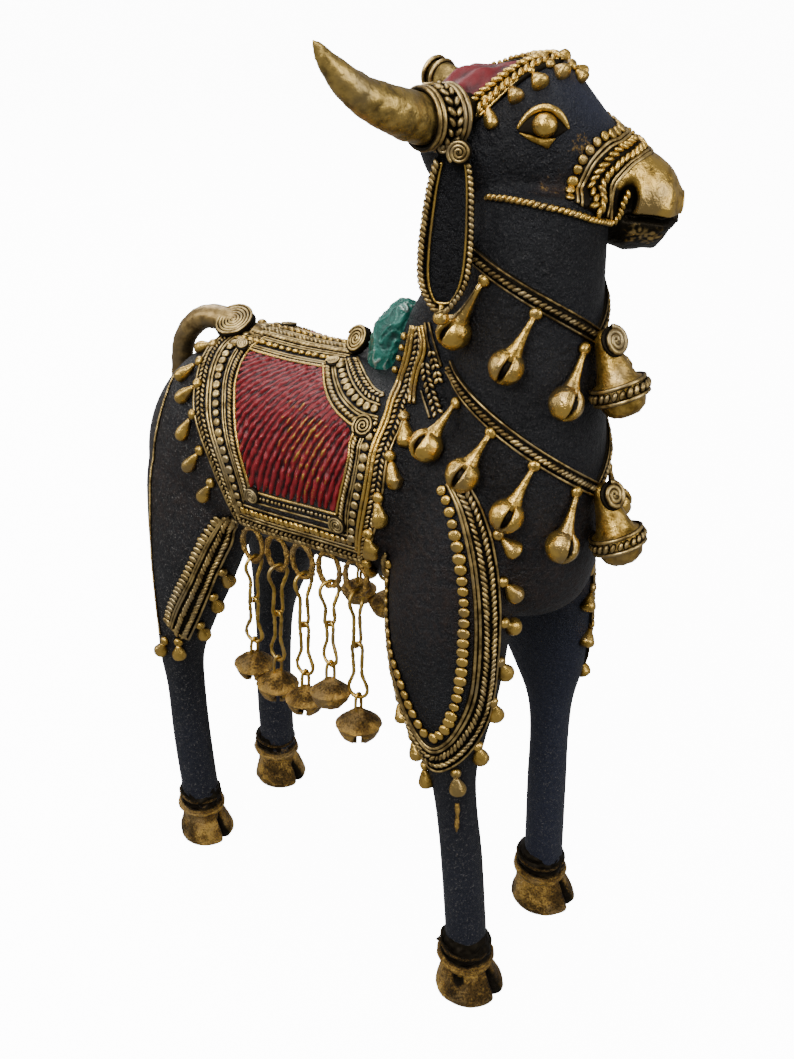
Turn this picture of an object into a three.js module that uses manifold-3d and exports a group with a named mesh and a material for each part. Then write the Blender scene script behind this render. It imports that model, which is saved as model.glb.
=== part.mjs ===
// A standing bull cast in brass by the lost-wax thread method, dressed with a saddle cloth,
// necklaces and ten short chains of bells. Millimetres, +X forward, +Y to the bull's left, +Z up.
import * as THREE from "three";
import { mergeVertices } from "three/addons/utils/BufferGeometryUtils.js";
import Module from "manifold-3d";

const wasm = await Module();
wasm.setup();

// Driving sizes of the stance
const footSpan = 150;          // fore soles to hind soles
const foreTrack = 60;          // between the fore soles
const hindTrack = 51;          // between the hind soles
const backHeight = 244;        // top of the barrel over the floor
const barrelDepth = 79;        // back to belly
const barrelWidth = 75;        // across the barrel
const neckWidth = 43;          // across the upper neck
const headLength = 82;         // back of the head to the nose
const headWidth = 38;          // across the eyes
const headHeight = 327;        // middle of the head over the floor
const headYaw = 29;            // degrees, turned to the bull's left
const headRoll = 8;            // degrees, left side higher
const legWidth = 15.5;         // a leg below its panel
const foreHoofWidth = 27.6;    // across a sole
const hindHoofWidth = 25;
const hoofHeight = 18;         // sole to the anklet
const hornLength = 56;
const hornWidth = 14.6;        // at the collar
const leftHornWidth = 6.8;
const earLength = 50;
const earWidth = 16;
const tailWidth = 9;
const humpLength = 32;
const humpWidth = 28;
const humpHeight = 45;         // its lower half is inside the back
const tailDiscWidth = 16;      // the spiral boss in front of the tail
const frontBellWidth = 21.4;
const frontBellHeight = 29;
const pendantWidth = 11;
const pendantLength = 15;
const dropWidth = 5.8;         // the small drops along the edges
const dropLength = 8.5;
const bandRise = 1.3;          // how far the cloth and its bands stand proud

// Driving sizes of the chains
const chainSpacing = 12.3;
const chainMiddleX = -1;
// Each chain from the rear forward: link length, how far its bell swings forward and outward,
// how many degrees its upper link is turned, and the bell's width.
const chainRows = [
  [22, -3, 0.5, 80, 15.6],
  [23.4, -1.2, 2.7, 66, 16.4],
  [23.8, 2.4, 4.5, 76, 15.4],
  [19.2, 4.2, 6.5, 62, 15.6],
  [24.6, 3.2, 4.1, 87, 17.4],
];
const crossTurn = 75;          // degrees that the lower link is turned from the upper one
const ovalWidth = 11.6;        // the loops cast under the cloth
const ovalHeight = 16;
const ovalWire = 2;
const wire = 1.3;              // links and shanks
const linkRound = 9.2;         // outside, at the round end
const linkNarrow = 5.6;        // outside, at the narrow end
const shankHeight = 8.8;
const bellHeight = 0.76;       // as a share of the bell's width
const clearance = 0.35;        // between pieces that hang in each other

// Colours and finishes
const patina = new THREE.MeshStandardMaterial({ color: 0x23221f, roughness: 0.5, metalness: 0.6 });
const brassWire = new THREE.MeshStandardMaterial({ color: 0xa07f35, roughness: 0.4, metalness: 1 });
const brassCast = new THREE.MeshStandardMaterial({ color: 0x8d6f38, roughness: 0.55, metalness: 1 });

// General helpers
const v3 = (x, y, z) => new THREE.Vector3(x, y, z);
const radians = THREE.MathUtils.degToRad;
const lerp = THREE.MathUtils.lerp;

function solidOf(geometry) {
  const plain = geometry.clone();
  plain.deleteAttribute("normal");
  plain.deleteAttribute("uv");
  const merged = mergeVertices(plain, 1e-4);
  const index = merged.index.array;
  const place = merged.attributes.position;
  const corners = [0, 1, 2].map(() => v3(0, 0, 0));
  let volume = 0;
  for (let i = 0; i < index.length; i += 3) {
    corners.forEach((corner, k) => corner.fromBufferAttribute(place, index[i + k]));
    volume += corners[0].dot(corners[1].clone().cross(corners[2]));
  }
  const triangles = [];
  for (let i = 0; i < index.length; i += 3) {
    const [a, b, c] = [index[i], index[i + 1], index[i + 2]];
    if (a === b || b === c || a === c) continue;
    triangles.push(...(volume < 0 ? [a, c, b] : [a, b, c]));
  }
  const mesh = new wasm.Mesh({
    numProp: 3,
    vertProperties: new Float32Array(place.array),
    triVerts: new Uint32Array(triangles),
  });
  return new wasm.Manifold(mesh);
}

function geometryOf(solid) {
  const mesh = solid.getMesh();
  const geometry = new THREE.BufferGeometry();
  geometry.setAttribute("position", new THREE.BufferAttribute(new Float32Array(mesh.vertProperties), 3));
  geometry.setIndex(new THREE.BufferAttribute(new Uint32Array(mesh.triVerts), 1));
  geometry.computeVertexNormals();
  return geometry;
}

// A closed skin over a row of rings, each ring with the same number of points.
function loft(rings) {
  const count = rings[0].length;
  const points = rings.flat();
  const triangles = [];
  for (let r = 0; r + 1 < rings.length; r++) {
    for (let i = 0; i < count; i++) {
      const next = (i + 1) % count;
      const [a, b] = [r * count + i, r * count + next];
      triangles.push(a, b, b + count, a, b + count, a + count);
    }
  }
  for (const [r, turned] of [[0, true], [rings.length - 1, false]]) {
    const centre = rings[r].reduce((sum, p) => sum.add(p), v3(0, 0, 0)).divideScalar(count);
    points.push(centre);
    for (let i = 0; i < count; i++) {
      const [a, b] = [r * count + i, r * count + (i + 1) % count];
      triangles.push(...(turned ? [points.length - 1, b, a] : [points.length - 1, a, b]));
    }
  }
  const geometry = new THREE.BufferGeometry().setFromPoints(points);
  geometry.setIndex(triangles);
  return geometry;
}

// A rounded ring: a superellipse of half sizes a and b along the unit directions u and w.
function ring(centre, u, w, a, b, sides, power = 2) {
  const points = [];
  for (let i = 0; i < sides; i++) {
    const turn = 2 * Math.PI * (i + 0.5) / sides;
    const [c, s] = [Math.cos(turn), Math.sin(turn)];
    const x = a * Math.sign(c) * Math.abs(c) ** (2 / power);
    const y = b * Math.sign(s) * Math.abs(s) ** (2 / power);
    points.push(centre.clone().addScaledVector(u, x).addScaledVector(w, y));
  }
  return points;
}

const forward = v3(1, 0, 0);
const left = v3(0, 1, 0);
const up = v3(0, 0, 1);

// Values between hand-set stations. Each station is a row whose first value is where it lies.
function between(stations, where) {
  const last = stations.length - 1;
  let k = 0;
  while (k < last - 1 && where > stations[k + 1][0]) k++;
  const [p1, p2] = [stations[k], stations[k + 1]];
  const [p0, p3] = [stations[Math.max(k - 1, 0)], stations[Math.min(k + 2, last)]];
  const span = p2[0] - p1[0];
  const t = THREE.MathUtils.clamp((where - p1[0]) / span, 0, 1);
  return p1.map((value, i) => {
    if (i === 0) return where;
    const m1 = k === 0 ? p2[i] - p1[i] : span * (p2[i] - p0[i]) / (p2[0] - p0[0]);
    const m2 = k === last - 1 ? p2[i] - p1[i] : span * (p3[i] - p1[i]) / (p3[0] - p1[0]);
    const [t2, t3] = [t * t, t * t * t];
    return (2 * t3 - 3 * t2 + 1) * value + (t3 - 2 * t2 + t) * m1
      + (3 * t2 - 2 * t3) * p2[i] + (t3 - t2) * m2;
  });
}

// Barrel: stations along X give the top, the bottom and the half width, as shares.
const halfBarrel = barrelWidth / 2;
const bellyHeight = backHeight - barrelDepth;
const rumpX = -footSpan / 2 - 23;
const barrelStations = [
  [rumpX, 0.36, 0.04, 0.3],
  [rumpX + 3, 0.5, -0.06, 0.48],
  [rumpX + 11, 0.7, -0.06, 0.68],
  [rumpX + 23, 0.86, -0.03, 0.84],
  [rumpX + 42, 0.97, 0.0, 0.96],
  [-20, 0.99, 0.0, 1.0],
  [10, 1.02, 0.02, 1.0],
  [35, 1.04, 0.03, 0.98],
  [60, 1.0, 0.05, 0.86],
  [78, 0.9, 0.1, 0.62],
];
function barrelAt(x) {
  const [, top, bottom, wide] = between(barrelStations, x);
  const zTop = bellyHeight + barrelDepth * top;
  const zBottom = bellyHeight + barrelDepth * bottom;
  return { middle: (zTop + zBottom) / 2, tall: (zTop - zBottom) / 2, wide: halfBarrel * wide };
}
const barrelPower = 2.25;
// A point on the barrel at X and at an angle from the spine, 0, over the right side, 90, to the belly.
function barrelPoint(x, degrees, rise = 0) {
  const { middle, tall, wide } = barrelAt(x);
  const [c, s] = [Math.cos(radians(degrees)), Math.sin(radians(degrees))];
  const y = -(wide + rise) * Math.sign(s) * Math.abs(s) ** (2 / barrelPower);
  const z = (tall + rise) * Math.sign(c) * Math.abs(c) ** (2 / barrelPower);
  return v3(x, y, middle + z);
}
function barrelSolid() {
  const rings = barrelStations.map(([x]) => {
    const { middle, tall, wide } = barrelAt(x);
    return ring(v3(x, 0, middle), left, up, wide, tall, 14, barrelPower);
  });
  return solidOf(loft(rings));
}

// Neck and chest: level rings. Rows are height share, middle X, half length, half width.
const chestHeight = backHeight - 66;
const neckTop = headHeight - 20;
const neckStations = [
  [-0.06, 73, 13, 14],
  [-0.02, 72, 21, 21],
  [0.05, 72, 24.5, 27],
  [0.2, 71.5, 26.5, 30],
  [0.38, 70.5, 27, 28.5],
  [0.55, 70, 26, 25],
  [0.75, 69, 24.5, 22],
  [0.95, 69, 23.5, 21],
  [1.08, 70, 22, 19.5],
];
const neckHeightAt = (share) => lerp(chestHeight, neckTop, share);
function neckAt(share) {
  const [, x, long, wide] = between(neckStations, share);
  return { x, long, wide: wide * neckWidth / 43 };
}
function neckPoint(share, degrees, rise = 0) {
  const { x, long, wide } = neckAt(share);
  const angle = radians(degrees);
  return v3(x + (long + rise) * Math.cos(angle), -(wide + rise) * Math.sin(angle), neckHeightAt(share));
}
function neckSolid() {
  const rings = neckStations.map(([share]) => {
    const { x, long, wide } = neckAt(share);
    return ring(v3(x, 0, neckHeightAt(share)), forward, left, long, wide, 12);
  });
  return solidOf(loft(rings));
}

// Head: its own frame, forward a, left b, up c, about the middle of the head.
const headPlace = new THREE.Matrix4().makeRotationX(radians(headRoll));
headPlace.premultiply(new THREE.Matrix4().makeRotationZ(radians(headYaw)));
headPlace.premultiply(new THREE.Matrix4().makeTranslation(60, 0, headHeight));
const inHead = (a, b, c) => v3(a, b, c).applyMatrix4(headPlace);
const headScale = headLength / 82;
const headWide = headWidth / 38;
// Rows are where along the head, the crown line, the jaw line and the half width.
const headStations = [
  [-28, 8, -2, 6],
  [-25, 14, -9, 11],
  [-17, 19, -17, 16.5],
  [-5, 22.5, -22, 19],
  [8, 25.5, -23, 19],
  [16, 24.5, -24, 18],
  [24, 15.5, -26, 15.5],
  [32, 6, -29, 13],
  [41, -1, -32, 12],
  [48, -6.5, -32.5, 10],
  [52, -13, -23, 4],
];
function headAt(a) {
  const [, top, bottom, wide] = between(headStations, a / headScale);
  const [t, b] = [top * headScale, bottom * headScale];
  return { middle: (t + b) / 2, tall: (t - b) / 2, wide: wide * headWide };
}
// A point on the head at a and at an angle from the crown, 0, over the right cheek, 90, to the jaw.
function headPoint(a, degrees, rise = 0) {
  const { middle, tall, wide } = headAt(a);
  const angle = radians(degrees);
  return inHead(a, -(wide + rise) * Math.sin(angle), middle + (tall + rise) * Math.cos(angle));
}
const headSides = 12;
function headSolid() {
  const rings = headStations.map(([a]) => {
    const points = [];
    for (let i = 0; i < headSides; i++) points.push(headPoint(a * headScale, -360 * (i + 0.5) / headSides));
    return points;
  });
  return solidOf(loft(rings));
}

// A closed pad that follows a surface: corners run over u and v, and it stands proud by rise.
function pad(surface, uSteps, vSteps, rise, sink = 2) {
  const rings = uSteps.map((u) => {
    const outer = vSteps.map((v) => surface(u, v, rise));
    const inner = vSteps.map((v) => surface(u, v, -sink)).reverse();
    return [...outer, ...inner];
  });
  return solidOf(loft(rings));
}
function steps(from, to, count) {
  return Array.from({ length: count + 1 }, (_, i) => lerp(from, to, i / count));
}

// A round bar with few sides along a row of points, closed at both ends.
function bar(points, radii, sides) {
  const rings = points.map((point, i) => {
    const before = points[Math.max(i - 1, 0)];
    const after = points[Math.min(i + 1, points.length - 1)];
    const along = after.clone().sub(before).normalize();
    const side = Math.abs(along.y) < 0.85 ? left : up;
    const u = side.clone().cross(along).normalize();
    const w = along.clone().cross(u);
    return ring(point, u, w, radii[i], radii[i], sides);
  });
  return solidOf(loft(rings));
}

// Legs: level rings. Rows are height, middle X, half length, middle Y, half width (right side).
const halfLeg = legWidth / 2;
const foreX = footSpan / 2;
const hindX = -footSpan / 2;
const foreY = -foreTrack / 2;
const hindY = -hindTrack / 2;
const rightForeLeg = [
  [8, foreX - 1, halfLeg, foreY, halfLeg],
  [66, foreX - 6.2, halfLeg, foreY + 0.5, halfLeg - 0.3],
  [92, foreX - 9.2, halfLeg - 0.2, foreY, halfLeg - 0.3],
  [108, foreX - 11, halfLeg + 1.5, foreY - 0.5, halfLeg + 0.3],
  [124, foreX - 13.5, 14.8, foreY - 0.5, 9.5],
  [146, foreX - 15.5, 20.6, foreY + 1, 11.8],
  [178, foreX - 16.3, 23.3, foreY + 3.5, 14],
  [208, foreX - 15.5, 20, foreY + 7, 14],
  [230, foreX - 15, 13, foreY + 12, 12],
  [242, foreX - 15, 5, foreY + 15, 7],
];
// The left foreleg stands straighter.
const leftForeLeg = rightForeLeg.map(([z, x, long, y, wide]) => {
  const rising = THREE.MathUtils.clamp((z - 20) / 80, 0, 1);
  const falling = THREE.MathUtils.clamp((z - 124) / 50, 0, 1);
  return [z, x + 7 * rising - 5 * falling, long, y, wide];
});
const rightHindLeg = [
  [8, hindX, halfLeg, hindY, halfLeg],
  [54, hindX - 3, halfLeg, hindY - 0.2, halfLeg],
  [84, hindX - 3.4, halfLeg, hindY - 0.4, halfLeg],
  [100, hindX - 3, 9, hindY - 1, 8.8],
  [118, hindX + 0.8, 12.4, hindY - 1, 10.5],
  [142, hindX + 6, 18.8, hindY + 0.5, 12.4],
  [168, hindX + 9.3, 25, hindY + 4, 13.8],
  [190, hindX + 11, 26, hindY + 7, 14],
  [208, hindX + 14, 19, hindY + 9, 12],
  [220, hindX + 16, 8, hindY + 11, 8],
];
const leftHindLeg = rightHindLeg.map(([z, x, long, y, wide]) => {
  const leaning = THREE.MathUtils.clamp((z - 20) / 70, 0, 1) * 4.8;
  return [z, x + 2 + leaning, long, y, wide];
});
const legPower = 2.2;
function legAt(stations, z) {
  const [, x, long, y, wide] = between(stations, z);
  return { x, long, y, wide };
}
// A point on a leg at a height and at an angle from the front, 0, over the right side, 90, to the back.
function legPoint(stations, side, z, degrees, rise = 0) {
  const { x, long, y, wide } = legAt(stations, z);
  const [c, s] = [Math.cos(radians(degrees)), Math.sin(radians(degrees))];
  const px = x + (long + rise) * Math.sign(c) * Math.abs(c) ** (2 / legPower);
  const py = y - (wide + rise) * Math.sign(s) * Math.abs(s) ** (2 / legPower);
  return v3(px, side * py, z);
}
function legSolid(stations, side) {
  const rings = stations.map(([z]) => {
    const sides = 8;
    const points = [];
    for (let i = 0; i < sides; i++) points.push(legPoint(stations, side, z, 360 * (i + 0.5) / sides, 0.3));
    return points;
  });
  return solidOf(loft(rings));
}

// Hoof: a flared foot with a cleft in front, an anklet above and a spur behind.
// Rows are the height, the half width and the shift forward, as shares.
const hoofRows = [
  [0, 1, 0.06],
  [0.12, 1.02, 0.06],
  [0.84, 0.64, -0.1],
  [1.04, 0.8, -0.12],
  [1.26, 0.68, -0.14],
];
function hoofSolid(x, y, width) {
  const half = width / 2;
  const rings = hoofRows.map(([t, share, shift]) => {
    const place = v3(x + shift * half, y, t * hoofHeight);
    return ring(place, forward, left, half * share, half * share * 0.94, 9);
  });
  const cleft = new THREE.CylinderGeometry(0.2, 2.4, hoofHeight * 0.9, 3);
  cleft.rotateX(Math.PI / 2).rotateY(-0.28).translate(x + half * 1.1, y, hoofHeight * 0.34);
  const spur = new THREE.ConeGeometry(2.6, 8, 3);
  spur.rotateZ(Math.PI / 2).rotateY(0.3).translate(x - half * 0.86, y, hoofHeight * 0.82);
  return solidOf(loft(rings)).subtract(solidOf(cleft)).add(solidOf(spur));
}

// Hump: a leaning lump in front of the cloth.
const humpX = 24.5;
const humpLean = -0.12;        // radians, to the rear
function humpSolid() {
  const lump = new THREE.SphereGeometry(1, 9, 6);
  lump.rotateX(Math.PI / 2).scale(humpLength / 2, humpWidth / 2, humpHeight / 2);
  lump.rotateY(humpLean).translate(humpX, 0, backHeight + 4);
  return solidOf(lump);
}

// Tail: rises off the back, arches over and runs into the rump.
function tailSolid() {
  const path = new THREE.CatmullRomCurve3([
    v3(-50, 0, backHeight - 1),
    v3(-62, 0, backHeight + 2),
    v3(-76, 0, backHeight + 0.5),
    v3(-87, 0, backHeight - 10),
    v3(-90.5, 0, backHeight - 24),
    v3(-92, 0, backHeight - 38),
  ]);
  const count = 7;
  const points = path.getPoints(count);
  const radii = points.map((_, i) => tailWidth / 2 * lerp(1.12, 0.86, i / count));
  return bar(points, radii, 7);
}

// Horns: a banded collar and a curved taper. The right one sweeps back, the left one points out.
function hornSolid(side) {
  const half = (side < 0 ? hornWidth : leftHornWidth) / 2;
  const root = inHead(-13, side * 10, 13);
  const mouth = inHead(-25.4, side * 22, side < 0 ? 15 : 14.6);
  const axis = mouth.clone().sub(root).normalize();
  const reach = root.distanceTo(mouth);
  const u = up.clone().cross(axis).normalize();
  const w = axis.clone().cross(u);
  const rows = [[0, half + 1.2], [0.8, half + 1.7], [1, half + 0.9]];
  const collar = solidOf(loft(rows.map(([t, r]) => {
    return ring(root.clone().addScaledVector(axis, t * reach), u, w, r, r, 8);
  })));
  const long = hornLength / 56;
  const sweptBack = [[-32, -31, 20.4], [-39.3, -38, 26.3], [-46.3, -43, 34.6], [-51, -46, 43]];
  const straightOut = [[-26.7, 32, 12], [-27.4, 42, 9], [-28, 51, 6.5], [-28.5, 57, 5.5]];
  const outer = (side < 0 ? sweptBack : straightOut).map(([a, b, c]) => {
    return mouth.clone().lerp(inHead(a, b, c), long);
  });
  const path = new THREE.CatmullRomCurve3([root.clone().lerp(mouth, 0.6), mouth, ...outer]);
  const count = 9;
  const points = path.getPoints(count);
  const taper = (t) => Math.max(1 - Math.max((t - 0.2) / 0.8, 0) ** 1.7, 0.06);
  const radii = points.map((_, i) => half * taper(i / count));
  return collar.add(bar(points, radii, 6));
}

// Ears: long hanging leaves with a raised edge, a hollow face and a thick root.
// Rows are the share of the length, the half width and the depth behind the face.
const earRows = [
  [0, 3.4, 8],
  [0.14, 5.6, 6],
  [0.3, 6.8, 2.4],
  [0.6, 7.9, 2],
  [0.84, 7.2, 2],
  [1, 2.8, 1.6],
];
function earSolid(side) {
  const top = inHead(-17, side * 21.5, 6);
  const out = v3(0.4, side * 0.92, 0).normalize();
  const along = v3(out.y * side, -out.x * side, 0);
  const rings = earRows.map(([t, half, deep]) => {
    const middle = top.clone().add(v3(-3.5 * t, side * -0.5, -earLength * t));
    const wide = half * earWidth / 16;
    const at = (s, o) => middle.clone().addScaledVector(along, s * wide).addScaledVector(out, o);
    return [at(-1, 1.4), at(-0.55, 0.3), at(0.55, 0.3), at(1, 1.4), at(0.7, -deep), at(-0.7, -deep)];
  });
  return solidOf(loft(rings));
}

// Small cast-on forms
function drop(place, down, length, half) {
  const shape = new THREE.OctahedronGeometry(1);
  const out = v3(0, 0, 1);
  const side = down.clone().cross(Math.abs(down.z) > 0.9 ? forward : out).normalize();
  const turn = new THREE.Matrix4().makeBasis(side, down, side.clone().cross(down));
  shape.scale(half, length / 2, half).applyMatrix4(turn.setPosition(place));
  return solidOf(shape);
}
// A drop on a surface: at(s) gives a point, and the drop reaches from s = 0 outward to s = 1.
function dropOn(at, length, half) {
  const [near, far] = [at(0), at(1)];
  const down = far.clone().sub(near).normalize();
  return drop(near.addScaledVector(down, length / 2), down, length, half);
}

// Necklaces: each hangs as a V from the nape to the front of the neck.
const necklaces = [
  { front: 0.735, climb: 0.235, pendants: [17, 58, 97] },
  { front: 0.33, climb: 0.31, pendants: [21, 54, 87, 124] },
];
const necklaceShare = ({ front, climb }, degrees) => front + climb * Math.sin(radians(Math.abs(degrees)) / 2);
const pendantDrop = 0.13;       // as a share of the neck's height
const pendantLean = 16;        // degrees that a pendant leans to the rear
function necklaceSolid(necklace) {
  const rings = steps(-180, 180, 12).slice(0, -1).map((degrees) => {
    const point = neckPoint(necklaceShare(necklace, degrees), degrees, 0.6);
    const out = v3(Math.cos(radians(degrees)), -Math.sin(radians(degrees)), 0);
    return ring(point, out, up, 2, 2.6, 3);
  });
  return solidOf(loopLoft(rings));
}
// A loft whose last ring meets its first.
function loopLoft(rings) {
  const count = rings[0].length;
  const triangles = [];
  rings.forEach((_, r) => {
    const after = (r + 1) % rings.length;
    for (let i = 0; i < count; i++) {
      const next = (i + 1) % count;
      const [a, b] = [r * count + i, r * count + next];
      const [c, d] = [after * count + i, after * count + next];
      triangles.push(a, b, d, a, d, c);
    }
  });
  const geometry = new THREE.BufferGeometry().setFromPoints(rings.flat());
  geometry.setIndex(triangles);
  return geometry;
}
// A pendant's bell, long and pointed, hanging below the necklace by its stem.
function pendantSolid(necklace, degrees, side) {
  const share = necklaceShare(necklace, degrees);
  const at = (s) => {
    const down = 0.5 + 0.6 * s;
    return neckPoint(share - pendantDrop * down, side * (degrees + pendantLean * down), 1.6);
  };
  return dropOn(at, pendantLength, pendantWidth / 2);
}

// Bell shapes on the front of the neck: a spiral stud, a cone, a thick rim and a domed foot.
function frontBell(share) {
  const profile = [[0, 0], [0.42, 0.06], [0.6, 0.36], [0.92, 0.64], [1, 0.74], [0.88, 0.86], [0, 1]];
  const points = profile.map(([r, h]) => new THREE.Vector2(r * frontBellWidth / 2, -h * frontBellHeight));
  const shape = new THREE.LatheGeometry(points, 9);
  const top = neckPoint(share, 0, 1.4);
  shape.rotateX(Math.PI / 2).rotateY(radians(-24)).translate(top.x, top.y, top.z);
  return solidOf(shape);
}

// Saddle cloth: its rear and front edges lie at a different X for each angle from the spine.
const clothLow = 121;          // degrees from the spine to the lower edge
const clothEdges = [
  [0, -63, 34],
  [20, -61, 34],
  [43, -56, 36],
  [64, -51, 38],
  [84, -42, 38],
  [101, -35, 34],
  [clothLow, -32, 29],
];
const panelTop = 18;
const panelLow = 92;
const panelEdges = [
  [panelTop, -40, -3],
  [30, -38, 1],
  [43, -35, 10],
  [52, -32, 20],
  [70, -27, 22.5],
  [panelLow, -20, 19.5],
];
function edgePoint(edges, share, degrees, rise) {
  const [, rear, front] = between(edges, Math.abs(degrees));
  return barrelPoint(lerp(rear, front, share), degrees, rise);
}
const clothPoint = (share, degrees, rise) => edgePoint(clothEdges, share, degrees, rise);
const panelPoint = (share, degrees, rise) => edgePoint(panelEdges, share, degrees, rise);
function clothSolid() {
  const angles = [0, 16, 34, 52, 70, 88, 105, clothLow];
  const across = [...angles.slice(1).reverse().map((a) => -a), ...angles];
  let cloth = pad(clothPoint, steps(0, 1, 3), across, bandRise * 2, 2);
  for (const side of [-1, 1]) {
    const recess = (share, degrees, rise) => panelPoint(share, side * degrees, rise);
    const rings = steps(0, 1, 2).map((share) => {
      const degrees = [panelTop, 34, 52, 70, panelLow];
      const floor = degrees.map((v) => recess(share, v, bandRise));
      const above = degrees.map((v) => recess(share, v, bandRise * 6)).reverse();
      return [...floor, ...above];
    });
    cloth = cloth.subtract(solidOf(loft(rings)));
  }
  return cloth;
}

// Shoulder panel: an almond on the outside of each foreleg, with a raised border.
const shoulderLow = 111;
const shoulderHigh = 234;
const shoulderHalf = 74;       // degrees to each side of the leg's outer face
function shoulderPoint(stations, side, t, across, rise) {
  const half = shoulderHalf * (1 - Math.abs(2 * t - 1) ** 3.4);
  return legPoint(stations, side, lerp(shoulderLow, shoulderHigh, t), 90 - half * across, rise);
}
function shoulderBorder(stations, side) {
  const climb = steps(0, 1, 7);
  const pair = (t, across) => [-0.6, 1.8].map((rise) => shoulderPoint(stations, side, t, across, rise));
  const front = climb.map((t) => pair(t, 1));
  const back = climb.slice(1, -1).reverse().map((t) => pair(t, -1));
  const loop = [...front, ...back];
  const rings = loop.map(([under, over], i) => {
    const before = loop[(i + loop.length - 1) % loop.length][1];
    const after = loop[(i + 1) % loop.length][1];
    const along = after.clone().sub(before).normalize();
    const out = over.clone().sub(under).normalize();
    const inward = along.clone().cross(out).normalize();
    const middle = under.clone().lerp(over, 0.5);
    return ring(middle, out, inward, 2, 3.4, 3);
  });
  return solidOf(loopLoft(rings));
}

// Thigh band: a slanting band on the outside of each hind leg.
const thighBand = [
  [184, 42, 14],
  [163, 54, 7],
  [143, 70, 4],
  [123, 94, -5],
  [107, 118, -30],
];
function thighPoint(stations, side, share, along, rise) {
  const z = lerp(thighBand[0][0], thighBand[4][0], along);
  const [, high, low] = between([...thighBand].reverse(), z);
  return legPoint(stations, side, z, lerp(high, low, share), rise);
}
function thighSolid(stations, side) {
  const surface = (along, share, rise) => thighPoint(stations, side, share, along, rise);
  return pad(surface, steps(0, 1, 4), [0, 1], bandRise * 1.6, 1.5);
}

// Bands on the head: over the brow, round the muzzle, and the cap of the nose.
const browHalf = 52;
const browAt = (degrees) => 13 - 26 * (Math.abs(degrees) / browHalf) ** 0.8;
function browSolid() {
  const surface = (degrees, a, rise) => headPoint(browAt(degrees) + a, degrees, rise);
  return pad(surface, steps(-browHalf, browHalf, 8), [-3.5, 3.5], 1.8, 1.5);
}
function muzzleSolid() {
  const band = (degrees, share, rise) => {
    const cos = Math.cos(radians(degrees));
    return headPoint(lerp(21.5 + 10 * cos, 33 + 7.5 * cos, share), degrees, rise);
  };
  return pad(band, steps(-112, 112, 8), [0, 1], 1.8, 1.5);
}
function eyeSolid(side) {
  const place = headPoint(9.2, side * 61, 0.4);
  const ball = new THREE.SphereGeometry(3.6, 6, 4);
  ball.translate(place.x, place.y, place.z);
  return solidOf(ball);
}
function mouthCut() {
  const slit = new THREE.BoxGeometry(18, 30, 1.6);
  slit.rotateY(-0.12).translate(50, 0, -21.5).applyMatrix4(headPlace);
  return solidOf(slit);
}

// Loops cast under the cloth: each chain hangs from the lowest point of its loop.
function hangPoint(i, side) {
  const x = chainMiddleX + (i - (chainRows.length - 1) / 2) * chainSpacing;
  const edge = barrelPoint(x, clothLow, bandRise * 2);
  return v3(x, side * (edge.y + 0.7), edge.z + 1.8 - ovalHeight + ovalWire / 2);
}
// A closed loop of wire in an upright plane, from its corners as [across, up] pairs.
function wireLoop(corners, thick) {
  const points = corners.map(([x, z]) => v3(x, 0, z));
  const rings = points.map((point, i) => {
    const before = points[(i + points.length - 1) % points.length];
    const after = points[(i + 1) % points.length];
    const out = after.clone().sub(before).normalize().cross(left);
    return ring(point, out, left, thick / 2, thick / 2, 3);
  });
  return solidOf(loopLoft(rings));
}
function ovalSolid(i, side) {
  const [halfWide, halfTall] = [(ovalWidth - ovalWire) / 2, (ovalHeight - ovalWire) / 2];
  const corners = steps(-90, 270, 7).slice(0, -1).map((degrees) => {
    return [halfWide * Math.cos(radians(degrees)), halfTall * (1 + Math.sin(radians(degrees)))];
  });
  return wireLoop(corners, ovalWire).translate(hangPoint(i, side).toArray());
}

// Wire loop of a link, hanging down from the origin: round at one end and narrow at the other.
function linkShape(length, roundUp) {
  const reach = length - wire;
  const [roundHalf, narrowHalf] = [(linkRound - wire) / 2, (linkNarrow - wire) / 2];
  const onArc = (half, middle, degrees) => {
    return [half * Math.cos(radians(degrees)), middle + half * Math.sin(radians(degrees))];
  };
  const corners = [
    ...[90, 140, 200].map((degrees) => onArc(roundHalf, -roundHalf, degrees)),
    [-narrowHalf * 0.75, -roundHalf * 2.6],
    ...[180, 235, 270, 305, 360].map((degrees) => onArc(narrowHalf, narrowHalf - reach, degrees)),
    [narrowHalf * 0.75, -roundHalf * 2.6],
    ...[-20, 40].map((degrees) => onArc(roundHalf, -roundHalf, degrees)),
  ];
  return wireLoop(corners.map(([x, z]) => [x, roundUp ? z : -reach - z]), wire);
}

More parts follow.
